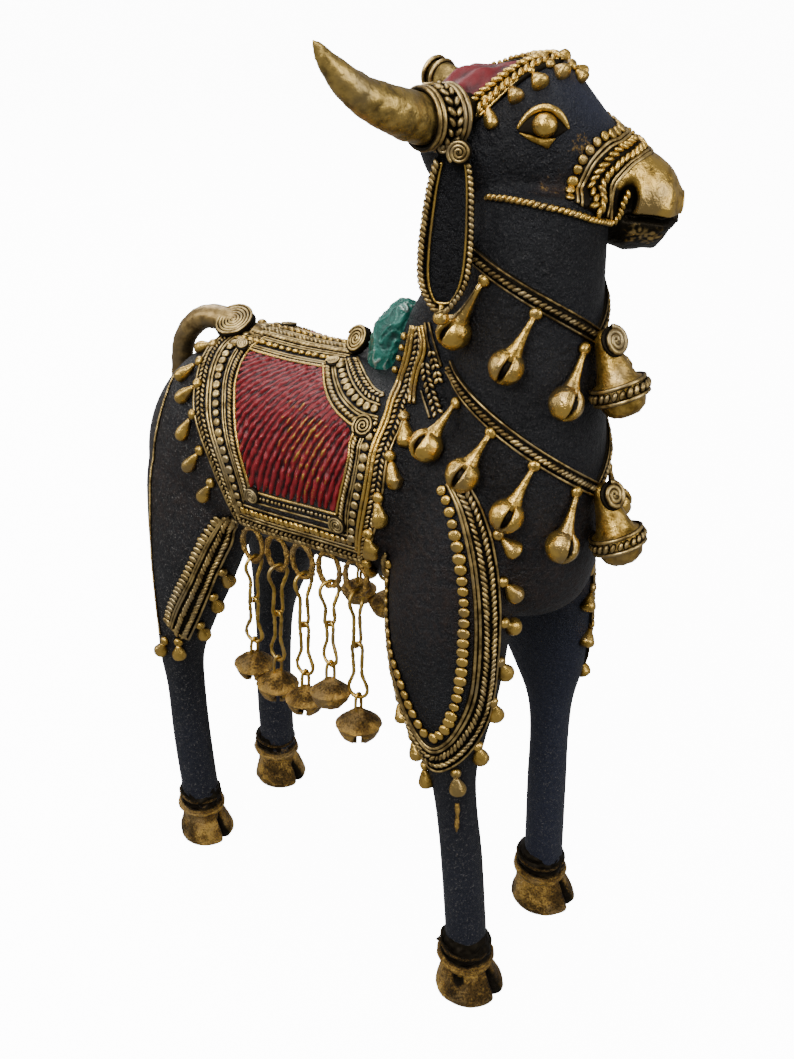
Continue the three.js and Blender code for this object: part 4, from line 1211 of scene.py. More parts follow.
def ribbed_field(across=220, down=150):
    """The right field, and at each of its points how much of its paint is worn off."""

    def at(v, u):
        degrees, w = PANEL_TOP + (PANEL_LOW - PANEL_TOP) * v, 1 - v
        rear, front = between(PANEL_EDGES, degrees)
        x = rear + (front - rear) * u
        wave = (x - 18 * w - 12 * w**3) / RIB_PITCH
        wave += 0.2 * noise.noise((x * 0.22, w * 5, 2.0)) + 0.2 * noise.noise((x * 0.8, w * 24, 5.0))
        step = wave % 1
        height = min(step / 0.62, (1 - step) / 0.2, 1) ** 0.85 * (0.75 + 0.25 * step)
        height *= 0.85 + 0.45 * noise.noise((x * 0.6, w * 16, 9.0))
        rise = -0.6 if u in (0, 1) or v in (0, 1) else 1.05 + 1.35 * height
        away = ((u - 0.66) / 0.34) ** 2 + ((w - 0.36) / 0.42) ** 2
        # The rib height is also the crest, so the red is painted darker in the valleys: painted shade.
        return on_barrel(x, degrees, rise), height, max(1.15 - 0.55 * away, 0.25)

    points, crest, rubbed_and_sheen = grown(at, np.linspace(0, 1, down), np.linspace(0, 1, across))
    form = sheet(points, crest)
    form.quads = form.quads[:, ::-1]
    return form, rubbed_and_sheen.ravel()


field, field_rubbed = ribbed_field()
fields = Piece()
fields.add(field, CRIMSON, True)
fields.make("red_fields", attributes={"rubbed_and_sheen": np.tile(field_rubbed, 2)})

# %% [markdown]
# ## Hump and tail
# The hump is a wrinkled lump under green paint. Pushing each wrinkle in by hand would be slow, so
# they are ridged noise: the folds are sharp and the skin between them is round.

# %% Hump
HUMP_SIZE, HUMP_AT, HUMP_LEAN = np.array([9.2, 9.8, 18.5]), np.array([16.6, 0, BACK + 8.6]), 0.21
# The noise that bends the folds would otherwise start from the clock, and differ from run to run.
noise.seed_set(7)


def wrinkled_hump(rows=110, sides=130):
    def at(k, i):
        a, b = math.pi * 0.86 * k / rows, 2 * math.pi * i / sides
        out = np.array([math.sin(a) * math.cos(b), math.sin(a) * math.sin(b), math.cos(a)])
        p = out * HUMP_SIZE
        q = Vector(p + (4, 9, 2)) * 0.14
        q += noise.noise_vector(q * 1.3) * 0.55
        lump = noise.noise((q.x * 0.9, q.y * 0.9, q.z * 0.6))
        fold = 1 - min(abs(noise.noise((q.x * 2.0, q.y * 2.0, q.z * 1.1))) * 4.5, 1)
        line = 1 - min(abs(noise.noise(q * 3.1 + Vector((5, 1, 8)))) * 6, 1)
        p = p + out * (1.4 * lump + 0.6 * fold**1.6 + 0.25 * line - 0.3)
        # The crest is high along the folds, so the green is painted lighter there and darker between them: painted
        # highlight and shade.
        crest = min(max(0.42 + 0.3 * lump + 0.45 * fold + 0.15 * line, 0), 1)
        return HUMP_AT + (p[0] + p[2] * HUMP_LEAN, p[1], p[2]), crest

    return outward(lofted(*grown(at, range(1, rows), range(sides))))


hump = Piece()
hump_form = wrinkled_hump()
hump.add(hump_form, GREEN)
# The whole hump counts as rubbed, so the pale painted highlight shows on every high fold.
hump.make("green_hump", attributes={"rubbed_and_sheen": np.full(len(hump_form.points), 0.9)})

# %% [markdown]
# The tail is a smooth brass arch that tapers into the rump. The same function makes the horns and
# the shanks of the bells later: a round body along a path, with skin as uneven as wax rolled by hand.

# %% Tail


def horn_of(path, radii, sides=26, rough=0.0, seed=0.0, crest=1.0):
    """A round body along a path with a radius at each point. Rough is how uneven its skin is, in mm."""
    along = unit(np.gradient(path, axis=0))
    side = unit(np.cross(along, (0.12, 0.05, 1.0)))
    for _ in range(2):
        side = unit(softened(side, False))
    other = np.cross(along, side)
    turns = 2 * np.pi * np.arange(sides) / sides
    rings = []
    for p, s, o, r in zip(path, side, other, radii):
        ring = []
        for turn in turns:
            way = s * math.cos(turn) + o * math.sin(turn)
            dent = rough * noise.noise(Vector(p + way * r) * 0.35 + Vector((seed, 0, 0)))
            dent += rough * 0.5 * noise.noise(Vector(p + way * r) * 1.1)
            ring.append(p + way * (r + dent))
        rings.append(ring)
    return outward(lofted(rings, crest))


TAIL_POINTS = [(-48, 0, BACK - 3), (-62, 0, BACK + 2), (-76, 0, BACK + 0.5), (-87, 0, BACK - 10),
               (-90.5, 0, BACK - 24), (-92, 0, BACK - 38)]
tail_path = smooth_path(TAIL_POINTS, 60)
tail = Piece()
tail.add(horn_of(tail_path, np.linspace(5.1, 3.9, 60), 24, 0.25, crest=0.75), TAIL_BRASS)
tail.make("tail")

# %% [markdown]
# ## Drops along the edges of the cloth
# The places are the ones seen on the photograph, turned into places on the skin. The far side
# repeats them mirrored and settled on its own skin. A thin twist runs down the back edge of each
# hind leg.

# %% Drops of the cloth
RUMP_TWIST = [(176, 374), (166, 398), (158, 428), (153, 465), (151, 505), (152, 550), (156, 595), (161, 634)]
# Stud and far end of each drop on the photograph.
REAR_DROPS = [((214, 345), (192, 354)), ((201, 362), (181, 379)), ((199, 384), (177, 404)),
              ((194, 414), (181, 442)), ((201, 450), (186, 473)), ((212, 482), (200, 504))]
FRONT_DROPS = [((404, 417), (407, 446)), ((390, 456), (396, 484)), ((379, 497), (381, 528)),
               ((369, 533), (374, 562)), ((367, 562), (371, 588))]


def both_sides(pixels):
    """A photograph's places on the right side and their mirror images on the left."""
    right = [spot(*pixel)[0] for pixel in pixels]
    left, _ = settled([p * (1, -1, 1) for p in right])
    return [right, list(left)]


def lane_pair(pixels, count, **more):
    """The lane through a photograph's places, and its mirror image on the far side."""
    return [Lane(smooth_path(points, count), hand=hand, **more)
            for points, hand in zip(both_sides(pixels), (1, -1))]


def drops(piece, rows, *sizes, **more):
    """Drops on both sides, each told by its stud and its far end on the photograph."""
    for row in rows:
        for stud_at, end in both_sides(row):
            drop(piece, stud_at, end, *sizes, **more)


for lane in lane_pair(RUMP_TWIST, 90, step=0.8):
    saddle.add(rope(lane, 1.7), THREAD)
drops(saddle, REAR_DROPS, 10.6, 5.4)
# All but the first are creased: where the ridge lies on each, how far its spur stands out, its turn.
CREASES = [None, (0.66, 0.12, 0.4), (0.55, 0.08, 1.3), (0.45, 0.26, 2.2), (0.5, 0.1, 0.9)]
for (near, far), crease in zip(FRONT_DROPS, CREASES):
    for (stud_at, end), hand in zip(both_sides((near, far)), (1, -1)):
        drop(saddle, stud_at, end, 9.6, 6.2, 1.4, gap=1.8, tear=creased(*crease, hand) if crease else TEAR)
print("drops on the cloth:", 2 * len(REAR_DROPS + FRONT_DROPS))

# %% [markdown]
# Ten oval loops are cast on below the edge of the cloth, and the loose chains are hooked into them
# after casting. Their wire was rolled by hand, so its thickness wavers a little.

# %% The loops under the cloth
CHAIN_SPACING, CHAIN_MIDDLE = 12.3, -1
OVAL_WIDE, OVAL_HIGH, OVAL_WIRE = 11.6, 16, 2
# Each chain from the rear: link length, swing forward, swing outward, turn of its upper link, bell width.
CHAINS = [[22, -3, 0.5, 80, 15.6], [23.4, -1.2, 2.7, 66, 16.4], [23.8, 2.4, 4.5, 76, 15.4],
          [19.2, 4.2, 6.5, 62, 15.6], [24.6, 3.2, 4.1, 87, 17.4]]


def hang_point(i, side):
    x = CHAIN_MIDDLE + (i - (len(CHAINS) - 1) / 2) * CHAIN_SPACING
    edge = on_barrel(x, CLOTH_LOW, CLOTH_RISE)
    return np.array([x, side * (edge[1] + 0.7), edge[2] + 1.8 - OVAL_HIGH + OVAL_WIRE / 2])


def closed_wire(line, radius, uneven):
    """A closed loop of wire through points, whose flat face looks along Y."""
    lane = free_lane(line, (0, 1, 0), True)
    side, out = circle(10)
    thick = radius * (1 + uneven * np.array([[noise.noise(Vector(p) * 0.6)] for p in lane.points]))
    return swept(lane, thick * side, thick * out, 0.8)


for i in range(len(CHAINS)):
    turns = np.radians(np.arange(0, 360, 9) - 90)
    half_wide, half_high = (OVAL_WIDE - OVAL_WIRE) / 2, (OVAL_HIGH - OVAL_WIRE) / 2
    oval = np.stack([half_wide * np.cos(turns), 0 * turns, half_high * (1 + np.sin(turns))], -1)
    saddle.add(closed_wire(oval + hang_point(i, 1), OVAL_WIRE / 2, 0.5), ROUGH, True)
print("loops:", 2 * len(CHAINS))

# %% [markdown]
# ## Necklaces
# Each necklace hangs as a V from the nape to the front. A dark strip lies on the neck, a twist of
# leaves on the strip and a thin line on each side.

# %% Necklace bands
NECKLACES = [(0.735, 0.235), (0.33, 0.31)]
neck = Piece()


def necklace_line(front, climb):
    """The upper necklace goes all round. The lower one ends at the straps on either side."""
    turns = np.arange(-180, 180, 4) if front > 0.5 else np.arange(-140, 141, 4)
    return [on_neck(front + climb * math.sin(math.radians(abs(a)) / 2), a, 0.4) for a in turns]


for front, climb in NECKLACES:
    neck.add(ribbon(Lane(necklace_line(front, climb), 1.2, front > 0.5), 5.4, 0.8), THREAD)
    lane = Lane(necklace_line(front, climb), 0.8, front > 0.5, lift=0.8)
    worn = 0.72 if front > 0.5 else 0.88
    neck.add(dulled(rope(lane, 2.9, 1.8), worn), THREAD)
    for aside in (-2.2, 2.2):
        neck.add(dulled(thread(lane.moved(aside), 0.45), worn), THREAD)
print("necklace bands:", len(neck.forms), "forms")

# %% [markdown]
# Small bells hang below each necklace: a stud, a stem, and a pellet ball with a leaf-shaped slit. The
# slit is modelled by pushing the ball's own points inward where they lie within the leaf, which
# keeps one clean skin where a cut would leave ragged edges.

# %% Pellet balls on stems
PENDANT_WIDE = 11.4


def slit_ball(rings=34, sides=40):
    """A unit ball with its poles to the sides, Y out and Z up, and a dark slit down its face."""
    places = np.sort(np.concatenate([np.cos(np.linspace(0, np.pi, rings))[1:-1],
                                     [-0.2, -0.15, -0.1, -0.05, 0.05, 0.1, 0.15, 0.2]]))

    def at(x, k):
        a = 2 * math.pi * k / sides
        y, z = math.sqrt(1 - x * x) * math.cos(a), math.sqrt(1 - x * x) * math.sin(a)
        along = math.degrees(math.atan2(z, y))
        half = 0.23 * math.cos(math.radians(along * 90 / 80)) if abs(along) < 80 else 0
        inside = min(max((half - abs(x)) / 0.07 + 0.35, 0), 1) if half > 0.02 else 0
        size = 1 - 0.36 * inside + 0.035 * noise.noise((x * 2.2, y * 2.2, z * 2.2))
        return (x * size, y * size, z * size), max(0.95 - 1.2 * inside, 0)

    return outward(lofted(*grown(at, places, range(sides))))


SLIT_BALL = slit_ball()
STEM = spun([[0, 0], [0.9, 0.02], [1.0, -0.25], [1.35, -0.5], [2.0, -0.75], [3.0, -0.95], [3.6, -1.1],
             [0, -1.12]])


def pendant(piece, top, bottom):
    """A stud on the skin, and a slit ball whose middle is near another place."""
    (start, end), (out, out_end) = settled([top, bottom])
    stud(piece, start, out, 4.4)
    out = unit(out + out_end)
    centre = end + out_end * PENDANT_WIDE * 0.36
    down = unit(centre - start - out * 1.2)
    out = unit(out - down * np.dot(out, down))
    side = np.cross(down, out)
    size = PENDANT_WIDE / 2
    piece.add(one(SLIT_BALL, centre, side * size, out * size, -down * size), BRIGHT)
    reach = np.linalg.norm(centre - start) - size * 0.85
    stem = one(STEM, start + out * 1.2 + down * 0.8, side, out, -down * reach)
    piece.add(outward(dulled(stem, 0.8)), BRIGHT)


# Stud and middle of the ball of each pendant on the photograph.
PENDANTS = [((486, 280), (465, 331)), ((536, 313), (510, 364)), ((583, 348), (561, 400)),
            ((458, 403), (430, 448)), ((492, 432), (465, 475)), ((534, 465), (508, 511)),
            ((575, 491), (556, 541))]
for pixels in PENDANTS:
    for top, bottom in both_sides(pixels):
        pendant(neck, top, bottom)
print("bells on stems:", 2 * len(PENDANTS))

# %% [markdown]
# ## Bells on the front of the neck
# Two larger bells are cast onto the chest, one under each necklace: a wire spiral, a cone, a thick
# twisted rim and a dome.

# %% Front bells
BELL_WIDE, BELL_HIGH = 21.4, 29


def hoop(centre, axis, radius, step=0.8):
    """A round lane in the air, facing outward all round."""
    axis = unit(np.asarray(axis, float))
    side = unit(np.cross(axis, (0.3, 1.0, 0.2)))
    count = max(int(2 * math.pi * radius / step), 12)
    c, s = circle(count)
    normals = side * c[:, None] + np.cross(axis, side) * s[:, None]
    return free_lane(centre + normals * radius, normals, True)


FRONT_BELL_PROFILE = [[0, 0.02], [0.2, 0.03], [0.28, 0.07], [0.34, 0.2], [0.42, 0.34], [0.51, 0.47], [0.58, 0.55],
                      [0.62, 0.595], [0.74, 0.61], [0.79, 0.65], [0.8, 0.74], [0.76, 0.8], [0.7, 0.82],
                      [0.68, 0.86], [0.6, 0.93], [0.42, 0.98], [0.2, 1], [0, 1]]
for front, _ in NECKLACES:
    lean = math.radians(24)
    down = np.array([math.sin(lean), 0, -math.cos(lean)])
    top = on_neck(front + 0.025, 0, 1.4)
    profile = [[r * BELL_WIDE / 2, -h * BELL_HIGH] for r, h in FRONT_BELL_PROFILE]
    side = np.array([0, 1.0, 0])
    bell = one(spun(profile, 44), top, np.cross(side, down), side, -down)
    dents = [noise.noise(Vector(p) * 0.5) * 0.3 for p in bell.points]
    bell.points = bell.points + np.outer(dents, down)
    neck.add(outward(dulled(bell, 0.62)), BRIGHT)
    rim = hoop(top + down * BELL_HIGH * 0.705, down, BELL_WIDE / 2 * 0.82)
    neck.add(grains(rim, 2.3, 3.7, 1.9, 1.2, 52), THREAD)
    for share, radius in ((0.625, 0.79), (0.785, 0.79)):
        rim = hoop(top + down * BELL_HIGH * share, down, BELL_WIDE / 2 * radius)
        neck.add(thread(rim, 0.75), THREAD)
    spiral(neck, top + (5.2, -1.2, -3.0), (0.82, -0.2, 0.48), 11.0, 2.8, 0.95, deep=0.6)
neck.make("necklaces")

# %% [markdown]
# ## Straps at the shoulder
# Between the cloth and the neck the work fans out from the front of the hump: a bright double
# ridge, two braids of leaves and a few thin lines. A row of small beads closes the hump's foot.

# %% Straps
FAN_RIDGE = [(422, 326), (424.5, 341), (424, 352), (420.5, 362), (417.5, 371), (415, 383), (413.5, 393),
             (412, 404)]
FAN_BRAIDS = [([(426, 362), (427, 374), (429.5, 385), (433, 395), (435.5, 405), (439, 416)], 4.8),
              ([(432, 350), (435, 362), (438, 373), (440, 384)], 3.4)]
FAN_LINES = [[(422, 390), (426, 405), (430, 419)], [(426, 322), (428, 338), (431, 350)],
             [(430, 322), (433, 336), (437, 350), (442, 366)]]
HUMP_BEADS = [(408, 330), (406.5, 339), (404, 349), (401, 360), (396, 374)]
for lane in lane_pair(FAN_RIDGE, 60, lift=0.4):
    for aside in (-0.8, 0.8):
        saddle.add(thread(lane.moved(aside), 0.7), BRIGHT)
for pixels, wide in FAN_BRAIDS:
    for lane in lane_pair(pixels, 60, lift=0.3):
        saddle.add(braid(lane, wide, 2.2), THREAD)
for pixels in FAN_LINES:
    for lane in lane_pair(pixels, 60, lift=0.2):
        saddle.add(dulled(thread(lane, 0.55), 0.7), THREAD)
for lane in lane_pair(HUMP_BEADS, 50, lift=0.5):
    saddle.add(grains(lane, 4.4, 2.6, 2.6, 1.3), BRIGHT)
print("saddle work:", len(saddle.forms), "forms")

# %% [markdown]
# ## Shoulder shields
# A long shield lies on the outside of each foreleg, open above, where it runs out on the shoulder. Its
# band is told by two rows of places on the leg: the line of flat beads inside and the rim outside.
# Every other line of the band lies at its share between the two.

# %% Shields
# Height and angle round the leg, from the top front down to the tip and up the rear.
SHIELD_BEADS = [(224, 97), (220, 86), (214, 77), (205, 68), (195, 62), (184, 58), (172, 57), (158, 57), (146, 61),
                (134, 70), (127, 90), (131, 105), (138, 116), (146, 126), (154, 143), (163, 151), (175, 154),
                (190, 156)]
SHIELD_RIM = [(228, 66), (220, 45), (210.5, 32), (198, 23), (183, 17), (167, 13), (150, 9), (137, 10), (126, 25),
              (117, 55), (111.5, 92), (113, 118), (119, 140), (130, 155), (145, 166), (160, 172), (178, 176),
              (196, 176)]


def shield_line(rows, side, share):
    corners = [(z0 + (z1 - z0) * share, a0 + (a1 - a0) * share)
               for (z0, a0), (z1, a1) in zip(SHIELD_BEADS, SHIELD_RIM)]
    path = smooth_path([(z, a, 0) for z, a in corners], 150)
    return [on_leg(rows, side, z, a, 0.3) for z, a, _ in path]


limbs = Piece()
SHIELD_BED = 0.8
for rows, side, fore in LEGS:
    if not fore:
        continue

    def shield_lane(share, lift=SHIELD_BED):
        return Lane(shield_line(rows, side, share), hand=side, lift=lift)

    limbs.add(bed([shield_line(rows, side, share) for share in (0.24, 0.4, 0.6, 0.8, 1.0)], SHIELD_BED), THREAD)
    limbs.add(grains(shield_lane(0.02, 0.1), 3.9, 3.9, 4.5, 1.5, form=COIN), BRIGHT)
    for share, radius in ((0.3, 0.65), (0.4, 0.65), (0.97, 0.5)):
        limbs.add(thread(shield_lane(share), radius), THREAD)
    limbs.add(grains(shield_lane(0.57), 2.05, 4.1, 1.6, 1.05, 34 * side), THREAD)
    limbs.add(grains(shield_lane(0.79), 2.05, 3.5, 1.55, 0.95, -34 * side), THREAD)

# Stud and far end of each drop round the near shield on the photograph.
SHIELD_DROPS = [((498, 534), (523, 556)), ((502, 581), (521, 600)), ((503, 622), (517, 642)),
                ((499, 661), (509, 678)), ((492, 701), (496, 722)), ((477, 745), (490, 774)),
                ((456, 772), (460, 803)), ((423, 766), (421, 800)), ((409, 738), (406, 762)),
                ((398, 698), (394, 720))]
drops(limbs, SHIELD_DROPS, 7.8, 6.5, 1.1, gap=1.8)
print("shields:", len(limbs.forms), "forms")

# %% [markdown]
# ## Thigh bands
# A slanting band runs down the outside of each hind leg from the cloth's corner. Flat beads line its
# rear edge, then a pair of ridges, a braid and a line. Drops hang from its front edge and low end.

# %% Thigh bands
# The rear and front edges of the band on the photograph, from the cloth's corner down.
THIGH_REAR = [(219, 517), (208, 530), (199, 545), (192, 560), (185, 576), (177, 591), (170, 607), (167, 621)]
THIGH_FRONT = [(239, 520), (233, 537), (226, 554), (218, 571), (211, 588), (204, 605), (197, 621), (189, 638)]

for rear, front, hand in zip(both_sides(THIGH_REAR), both_sides(THIGH_FRONT), (1, -1)):
    rear, front = smooth_path(rear, 90), smooth_path(front, 90)

    def thigh_lane(share, lift=0.8):
        return Lane(rear + (front - rear) * share, hand=hand, lift=lift)

    limbs.add(bed([rear + (front - rear) * share for share in (0.17, 0.4, 0.7, 1.0)], 0.8), THREAD)
    limbs.add(grains(thigh_lane(0.05, 0.2), 2.5, 2.5, 4.2, 1.3, form=COIN), THREAD)
    for share, radius in ((0.25, 0.6), (0.33, 0.6), (0.98, 0.6)):
        limbs.add(thread(thigh_lane(share), radius), THREAD)
    limbs.add(grains(thigh_lane(0.53), 2.0, 4.6, 1.8, 1.25, 32 * hand), THREAD)
    limbs.add(grains(thigh_lane(0.79), 2.0, 4.6, 1.8, 1.2, -32 * hand), THREAD)
    foot = [rear[-1] + (front[-1] - rear[-1]) * share for share in np.linspace(0.1, 0.98, 14)]
    limbs.add(thread(Lane(foot, hand=hand, lift=0.5), 0.65), THREAD)

# Metal ran down the near foreleg below its shield when it was cast, and was left there.
DRIP = [(457, 803), (457.5, 812), (457, 822), (456.5, 832)]
drip_lane = Lane(smooth_path([spot(u, v)[0] for u, v in DRIP], 40), 0.6, lift=-0.2)
limbs.add(tapered(drip_lane, [0.8, 1.1, 0.7, 0.9, 1.0, 0.3]), ROUGH)

THIGH_DROPS = [((222, 571), (236, 588)), ((213, 596), (219, 614)), ((200, 624), (206, 645)),
               ((179, 641), (182, 668)), ((166, 640), (160, 662))]
drops(limbs, THIGH_DROPS, 7.4, 6.2, 1.1, gap=1.7)
print("shields and thigh bands:", len(limbs.forms), "forms")

# %% [markdown]
# ## Hooves
# The hooves flare to a flat sole and are split in front. Above each lies a rough dark collar with a
# gold lower lip, and a small spur behind. The split is drawn into the rings themselves, deep at the
# front and gone at the sides. The right fore hoof keeps a casting hole.

# %% Hooves
HOOF_ROWS = [[0, 0.93, 0.04], [0.1, 1.0, 0.05], [0.3, 0.94, 0.03], [0.6, 0.78, -0.03], [0.85, 0.67, -0.08],
             [1.0, 0.63, -0.1], [1.2, 0.58, -0.12]]
COLLAR_ROWS = [[0.86, 0.62], [0.92, 0.68], [1.02, 0.72], [1.12, 0.69], [1.22, 0.72], [1.38, 0.66], [1.54, 0.6],
               [1.66, 0.53]]
CASTING_HOLE = (-80, 0.66)
hooves = Piece()


def hoof_form(x, y, half, seed, hole):
    def at(t, a):
        share, shift = between(HOOF_ROWS, t)
        c, s = math.cos(math.radians(a)), math.sin(math.radians(a))
        from_front = (a + 180) % 360 - 180
        cleft = math.exp(-(from_front / (8 - 3 * t)) ** 2) * ramp(t, -0.1, 0.05)
        dent = 0.5 * noise.noise((c * 2 + seed, s * 2, t * 4))
        dent += 0.2 * noise.noise((c * 8 + seed, s * 8, t * 14))
        away = math.hypot((from_front - CASTING_HOLE[0]) * 0.2, (t - CASTING_HOLE[1]) * HOOF_HIGH)
        pit = hole * min(max(1.6 - away / 1.9, 0), 1)
        reach = half * share * (1 - 0.26 * cleft - 0.28 * pit) + dent * (t > 0)
        patch = 0.35 * noise.noise((c * 1.2 + seed, s * 1.2, t * 1.5))
        crest = min(max(0.7 + patch - 1.3 * cleft - 1.4 * pit - 0.5 * ramp(t, 0.85, 1.0), -0.3), 1)
        return (x + shift * half + reach * c, y + reach * 0.96 * s, t * HOOF_HIGH), crest

    heights = np.concatenate([[0, 0.03], np.linspace(0.07, 1.2, 60)])
    return outward(lofted(*grown(at, heights, np.arange(0, 360, 3.6))))


def hoof_collar(x, y, half, seed):
    def at(t, a):
        c, s = math.cos(math.radians(a)), math.sin(math.radians(a))
        rag = abs(noise.noise((c * 2.2 + seed, s * 2.2, t * 5))) * 1.5
        rag += noise.noise((c * 6 + seed, s * 6, t * 12)) * 0.5
        rag *= ramp(t, 0.86, 0.95) * (1 - ramp(t, 1.45, 1.66))
        reach = half * between(COLLAR_ROWS, t)[0] + rag
        crest = min(max(0.62 * (1 - ramp(t, 0.98, 1.2)) + 0.24 * rag, 0), 0.7)
        return (x - 0.12 * half + reach * c, y + reach * 0.96 * s, t * HOOF_HIGH), crest

    return outward(lofted(*grown(at, np.linspace(0.86, 1.66, 34), np.arange(0, 360, 4))))


SPUR = spun([[0, 0.5], [2.6, 0], [2.3, -2.2], [1.5, -4.6], [0.7, -6.4], [0, -7.4]], 12)
for number, (rows, side, fore) in enumerate(LEGS):
    foot_x, _, foot_y, _ = between(rows, rows[0][0])
    foot_y, half = foot_y * side, (FORE_HOOF if fore else HIND_HOOF) / 2
    hooves.add(hoof_form(foot_x, foot_y, half, number * 7.0, number == 0), ROUGH)
    hooves.add(hoof_collar(foot_x, foot_y, half, number * 5.0), THREAD)
    for level, reach, wide, worn in ((0.93, 0.7, 1.5, 0.85), (1.02, 0.715, 0.9, 0.75), (1.3, 0.69, 0.8, 0.5)):
        lip = hoop(np.array([foot_x - 0.12 * half, foot_y, level * HOOF_HIGH]), (0.12, 0, 1), half * reach)
        lip.points = lip.points + lip.normals * np.array([[0.5 * noise.noise(Vector(p) * 0.35)] for p in lip.points])
        hooves.add(dulled(thread(lip, wide, 8), worn), ROUGH)
    spur_at = np.array([foot_x - 0.6 * half, foot_y, 1.12 * HOOF_HIGH])
    spur = placed(SPUR, spur_at, (-0.85, -0.25 * side, -0.4), np.array([-0.4, 0, 0.9]), 1, 1, False)
    hooves.add(dulled(spur, 0.2), THREAD)
hooves.make("hooves")

# %% [markdown]
# ## The head's bands
# A brow band bends over the forehead from ear to ear. It is planned in the head's own frame, as a
# place along the head for each angle round it, so that it would follow the head if that turned
# further.

# %% Brow band
BROW_HALF = 52
HEAD_INVERSE = np.array(HEAD_PLACE.inverted())
head = Piece()


def from_head(points):
    """Points told in the head's own frame."""
    return np.asarray(points) @ HEAD_INVERSE[:3, :3].T + HEAD_INVERSE[:3, 3]


def head_pair(pixels):
    """The places under pixels of the near side of the head, and their mirror in the head's own frame."""
    near = np.array([spot(u, v)[0] for u, v in pixels])
    return near, np.array([in_head(*(p * (1, -1, 1))) for p in from_head(near)])


def brow_at(degrees):
    return 13 - 26 * (abs(degrees) / BROW_HALF) ** 0.8


def brow_lane(aside, lift=0.0, low=-BROW_HALF, high=BROW_HALF):
    return Lane([on_head(brow_at(a) + aside, a) for a in np.linspace(low, high, 70)], lift=lift)


head.add(ribbon(brow_lane(-1.0), 7.2, 1.0), THREAD)
head.add(thread(brow_lane(-4.3, 0.5), 0.8), BRIGHT)
head.add(braid(brow_lane(-1.1, 1.0), 7.0, 2.2, 1.25, 36, 0.8), BRIGHT)
head.add(thread(brow_lane(2.5, 0.8), 0.6), BRIGHT)
for low, high in ((-BROW_HALF, -26), (26, BROW_HALF)):
    head.add(thread(brow_lane(3.7, 0.6, low, high), 0.5), BRIGHT)
# Stud and far end of each drop, with its length and width.
BROW_DROPS = [((485.6, 101), (493, 128), 7.2, 4.4), ((508.8, 83.8), (519, 103), 5.6, 5.2),
              ((530.6, 72), (543, 88), 5.8, 5.6), ((550, 65.6), (566, 78), 5.0, 5.4),
              ((571, 65), (585, 75), 4.4, 4.4)]
for near, far, length, wide in BROW_DROPS:
    for stud_at, end in head_pair((near, far)):
        drop(head, stud_at, end, length, wide, 0.7, False, gap=1.7)
        stud(head, *[v[0] for v in settled([stud_at])], 3.3)
print("brow drops:", 2 * len(BROW_DROPS))

# %% [markdown]
# A broad band goes round the muzzle, with flat beads behind, a bold braid and two ridges in front.
# Two rows of places, the beads and the last ridge, carry every line between them.

# %% Muzzle band
# Degrees from the crown, then how far along the head the beads and the last ridge lie there.
MUZZLE_ROWS = [[0, 32.0, 42.3], [29, 29.2, 38.7], [40, 26.9, 36.7], [55, 24.3, 34.3], [63, 22.9, 33.0],
               [76, 20.7, 31.1], [92, 18.7, 29.7], [104, 17.3, 29.3], [114, 16.8, 29.2]]
MUZZLE_HALF = 98


def muzzle_line(share):
    """A line round the muzzle. Its ends lie by the bridle, at places read off the photograph."""
    right, left = head_pair([(568 + 40 * share, 200 + 19 * share)])
    points = [left[0]]
    for a in np.linspace(-MUZZLE_HALF, MUZZLE_HALF, 30):
        near, far = between(MUZZLE_ROWS, abs(a))
        points.append(on_head(near + (far - near) * share, a))
    return smooth_path(points + [right[0]], 90)


def muzzle_lane(share, lift=0.8):
    return Lane(muzzle_line(share), lift=lift)


head.add(bed([muzzle_line(share) for share in (0.14, 0.4, 0.7, 1.04)], 0.8), THREAD)
head.add(dulled(grains(muzzle_lane(0.04, 0.1), 3.4, 3.2, 3.4, 1.3, form=COIN), 0.85), BRIGHT)
for share, radius in ((0.2, 0.55), (0.295, 0.55), (0.89, 0.55), (0.99, 0.65)):
    head.add(thread(muzzle_lane(share), radius), THREAD)
head.add(braid(muzzle_lane(0.59), 7.0, 2.25, 1.3, 34, 0.82), BRIGHT)
print("steps round the muzzle:", len(muzzle_lane(0.5).points))

# %% [markdown]
# The nose is a smooth cap of bright metal above the mouth, and black with a few worn patches below.
# Mouth and nostrils are drawn into the cap's own grid: each point knows how far it is from the
# mouth's plane and from the nostril, and sinks or rises by it.

# %% Nose cap
MOUTH_ROWS = [[30, -16.8], [36, -16.9], [40, -17], [43, -17.4], [46, -18], [49.2, -19.2], [53, -20]]
NOSTRIL = from_head([spot(628.5, 200)[0]])[0]
LIP_PATCHES = [from_head([spot(u, v)[0]])[0] for u, v in ((651, 237), (634, 233))]


def cap_start(degrees):
    return between(MUZZLE_ROWS, min(abs(degrees), 114))[1] + 0.3


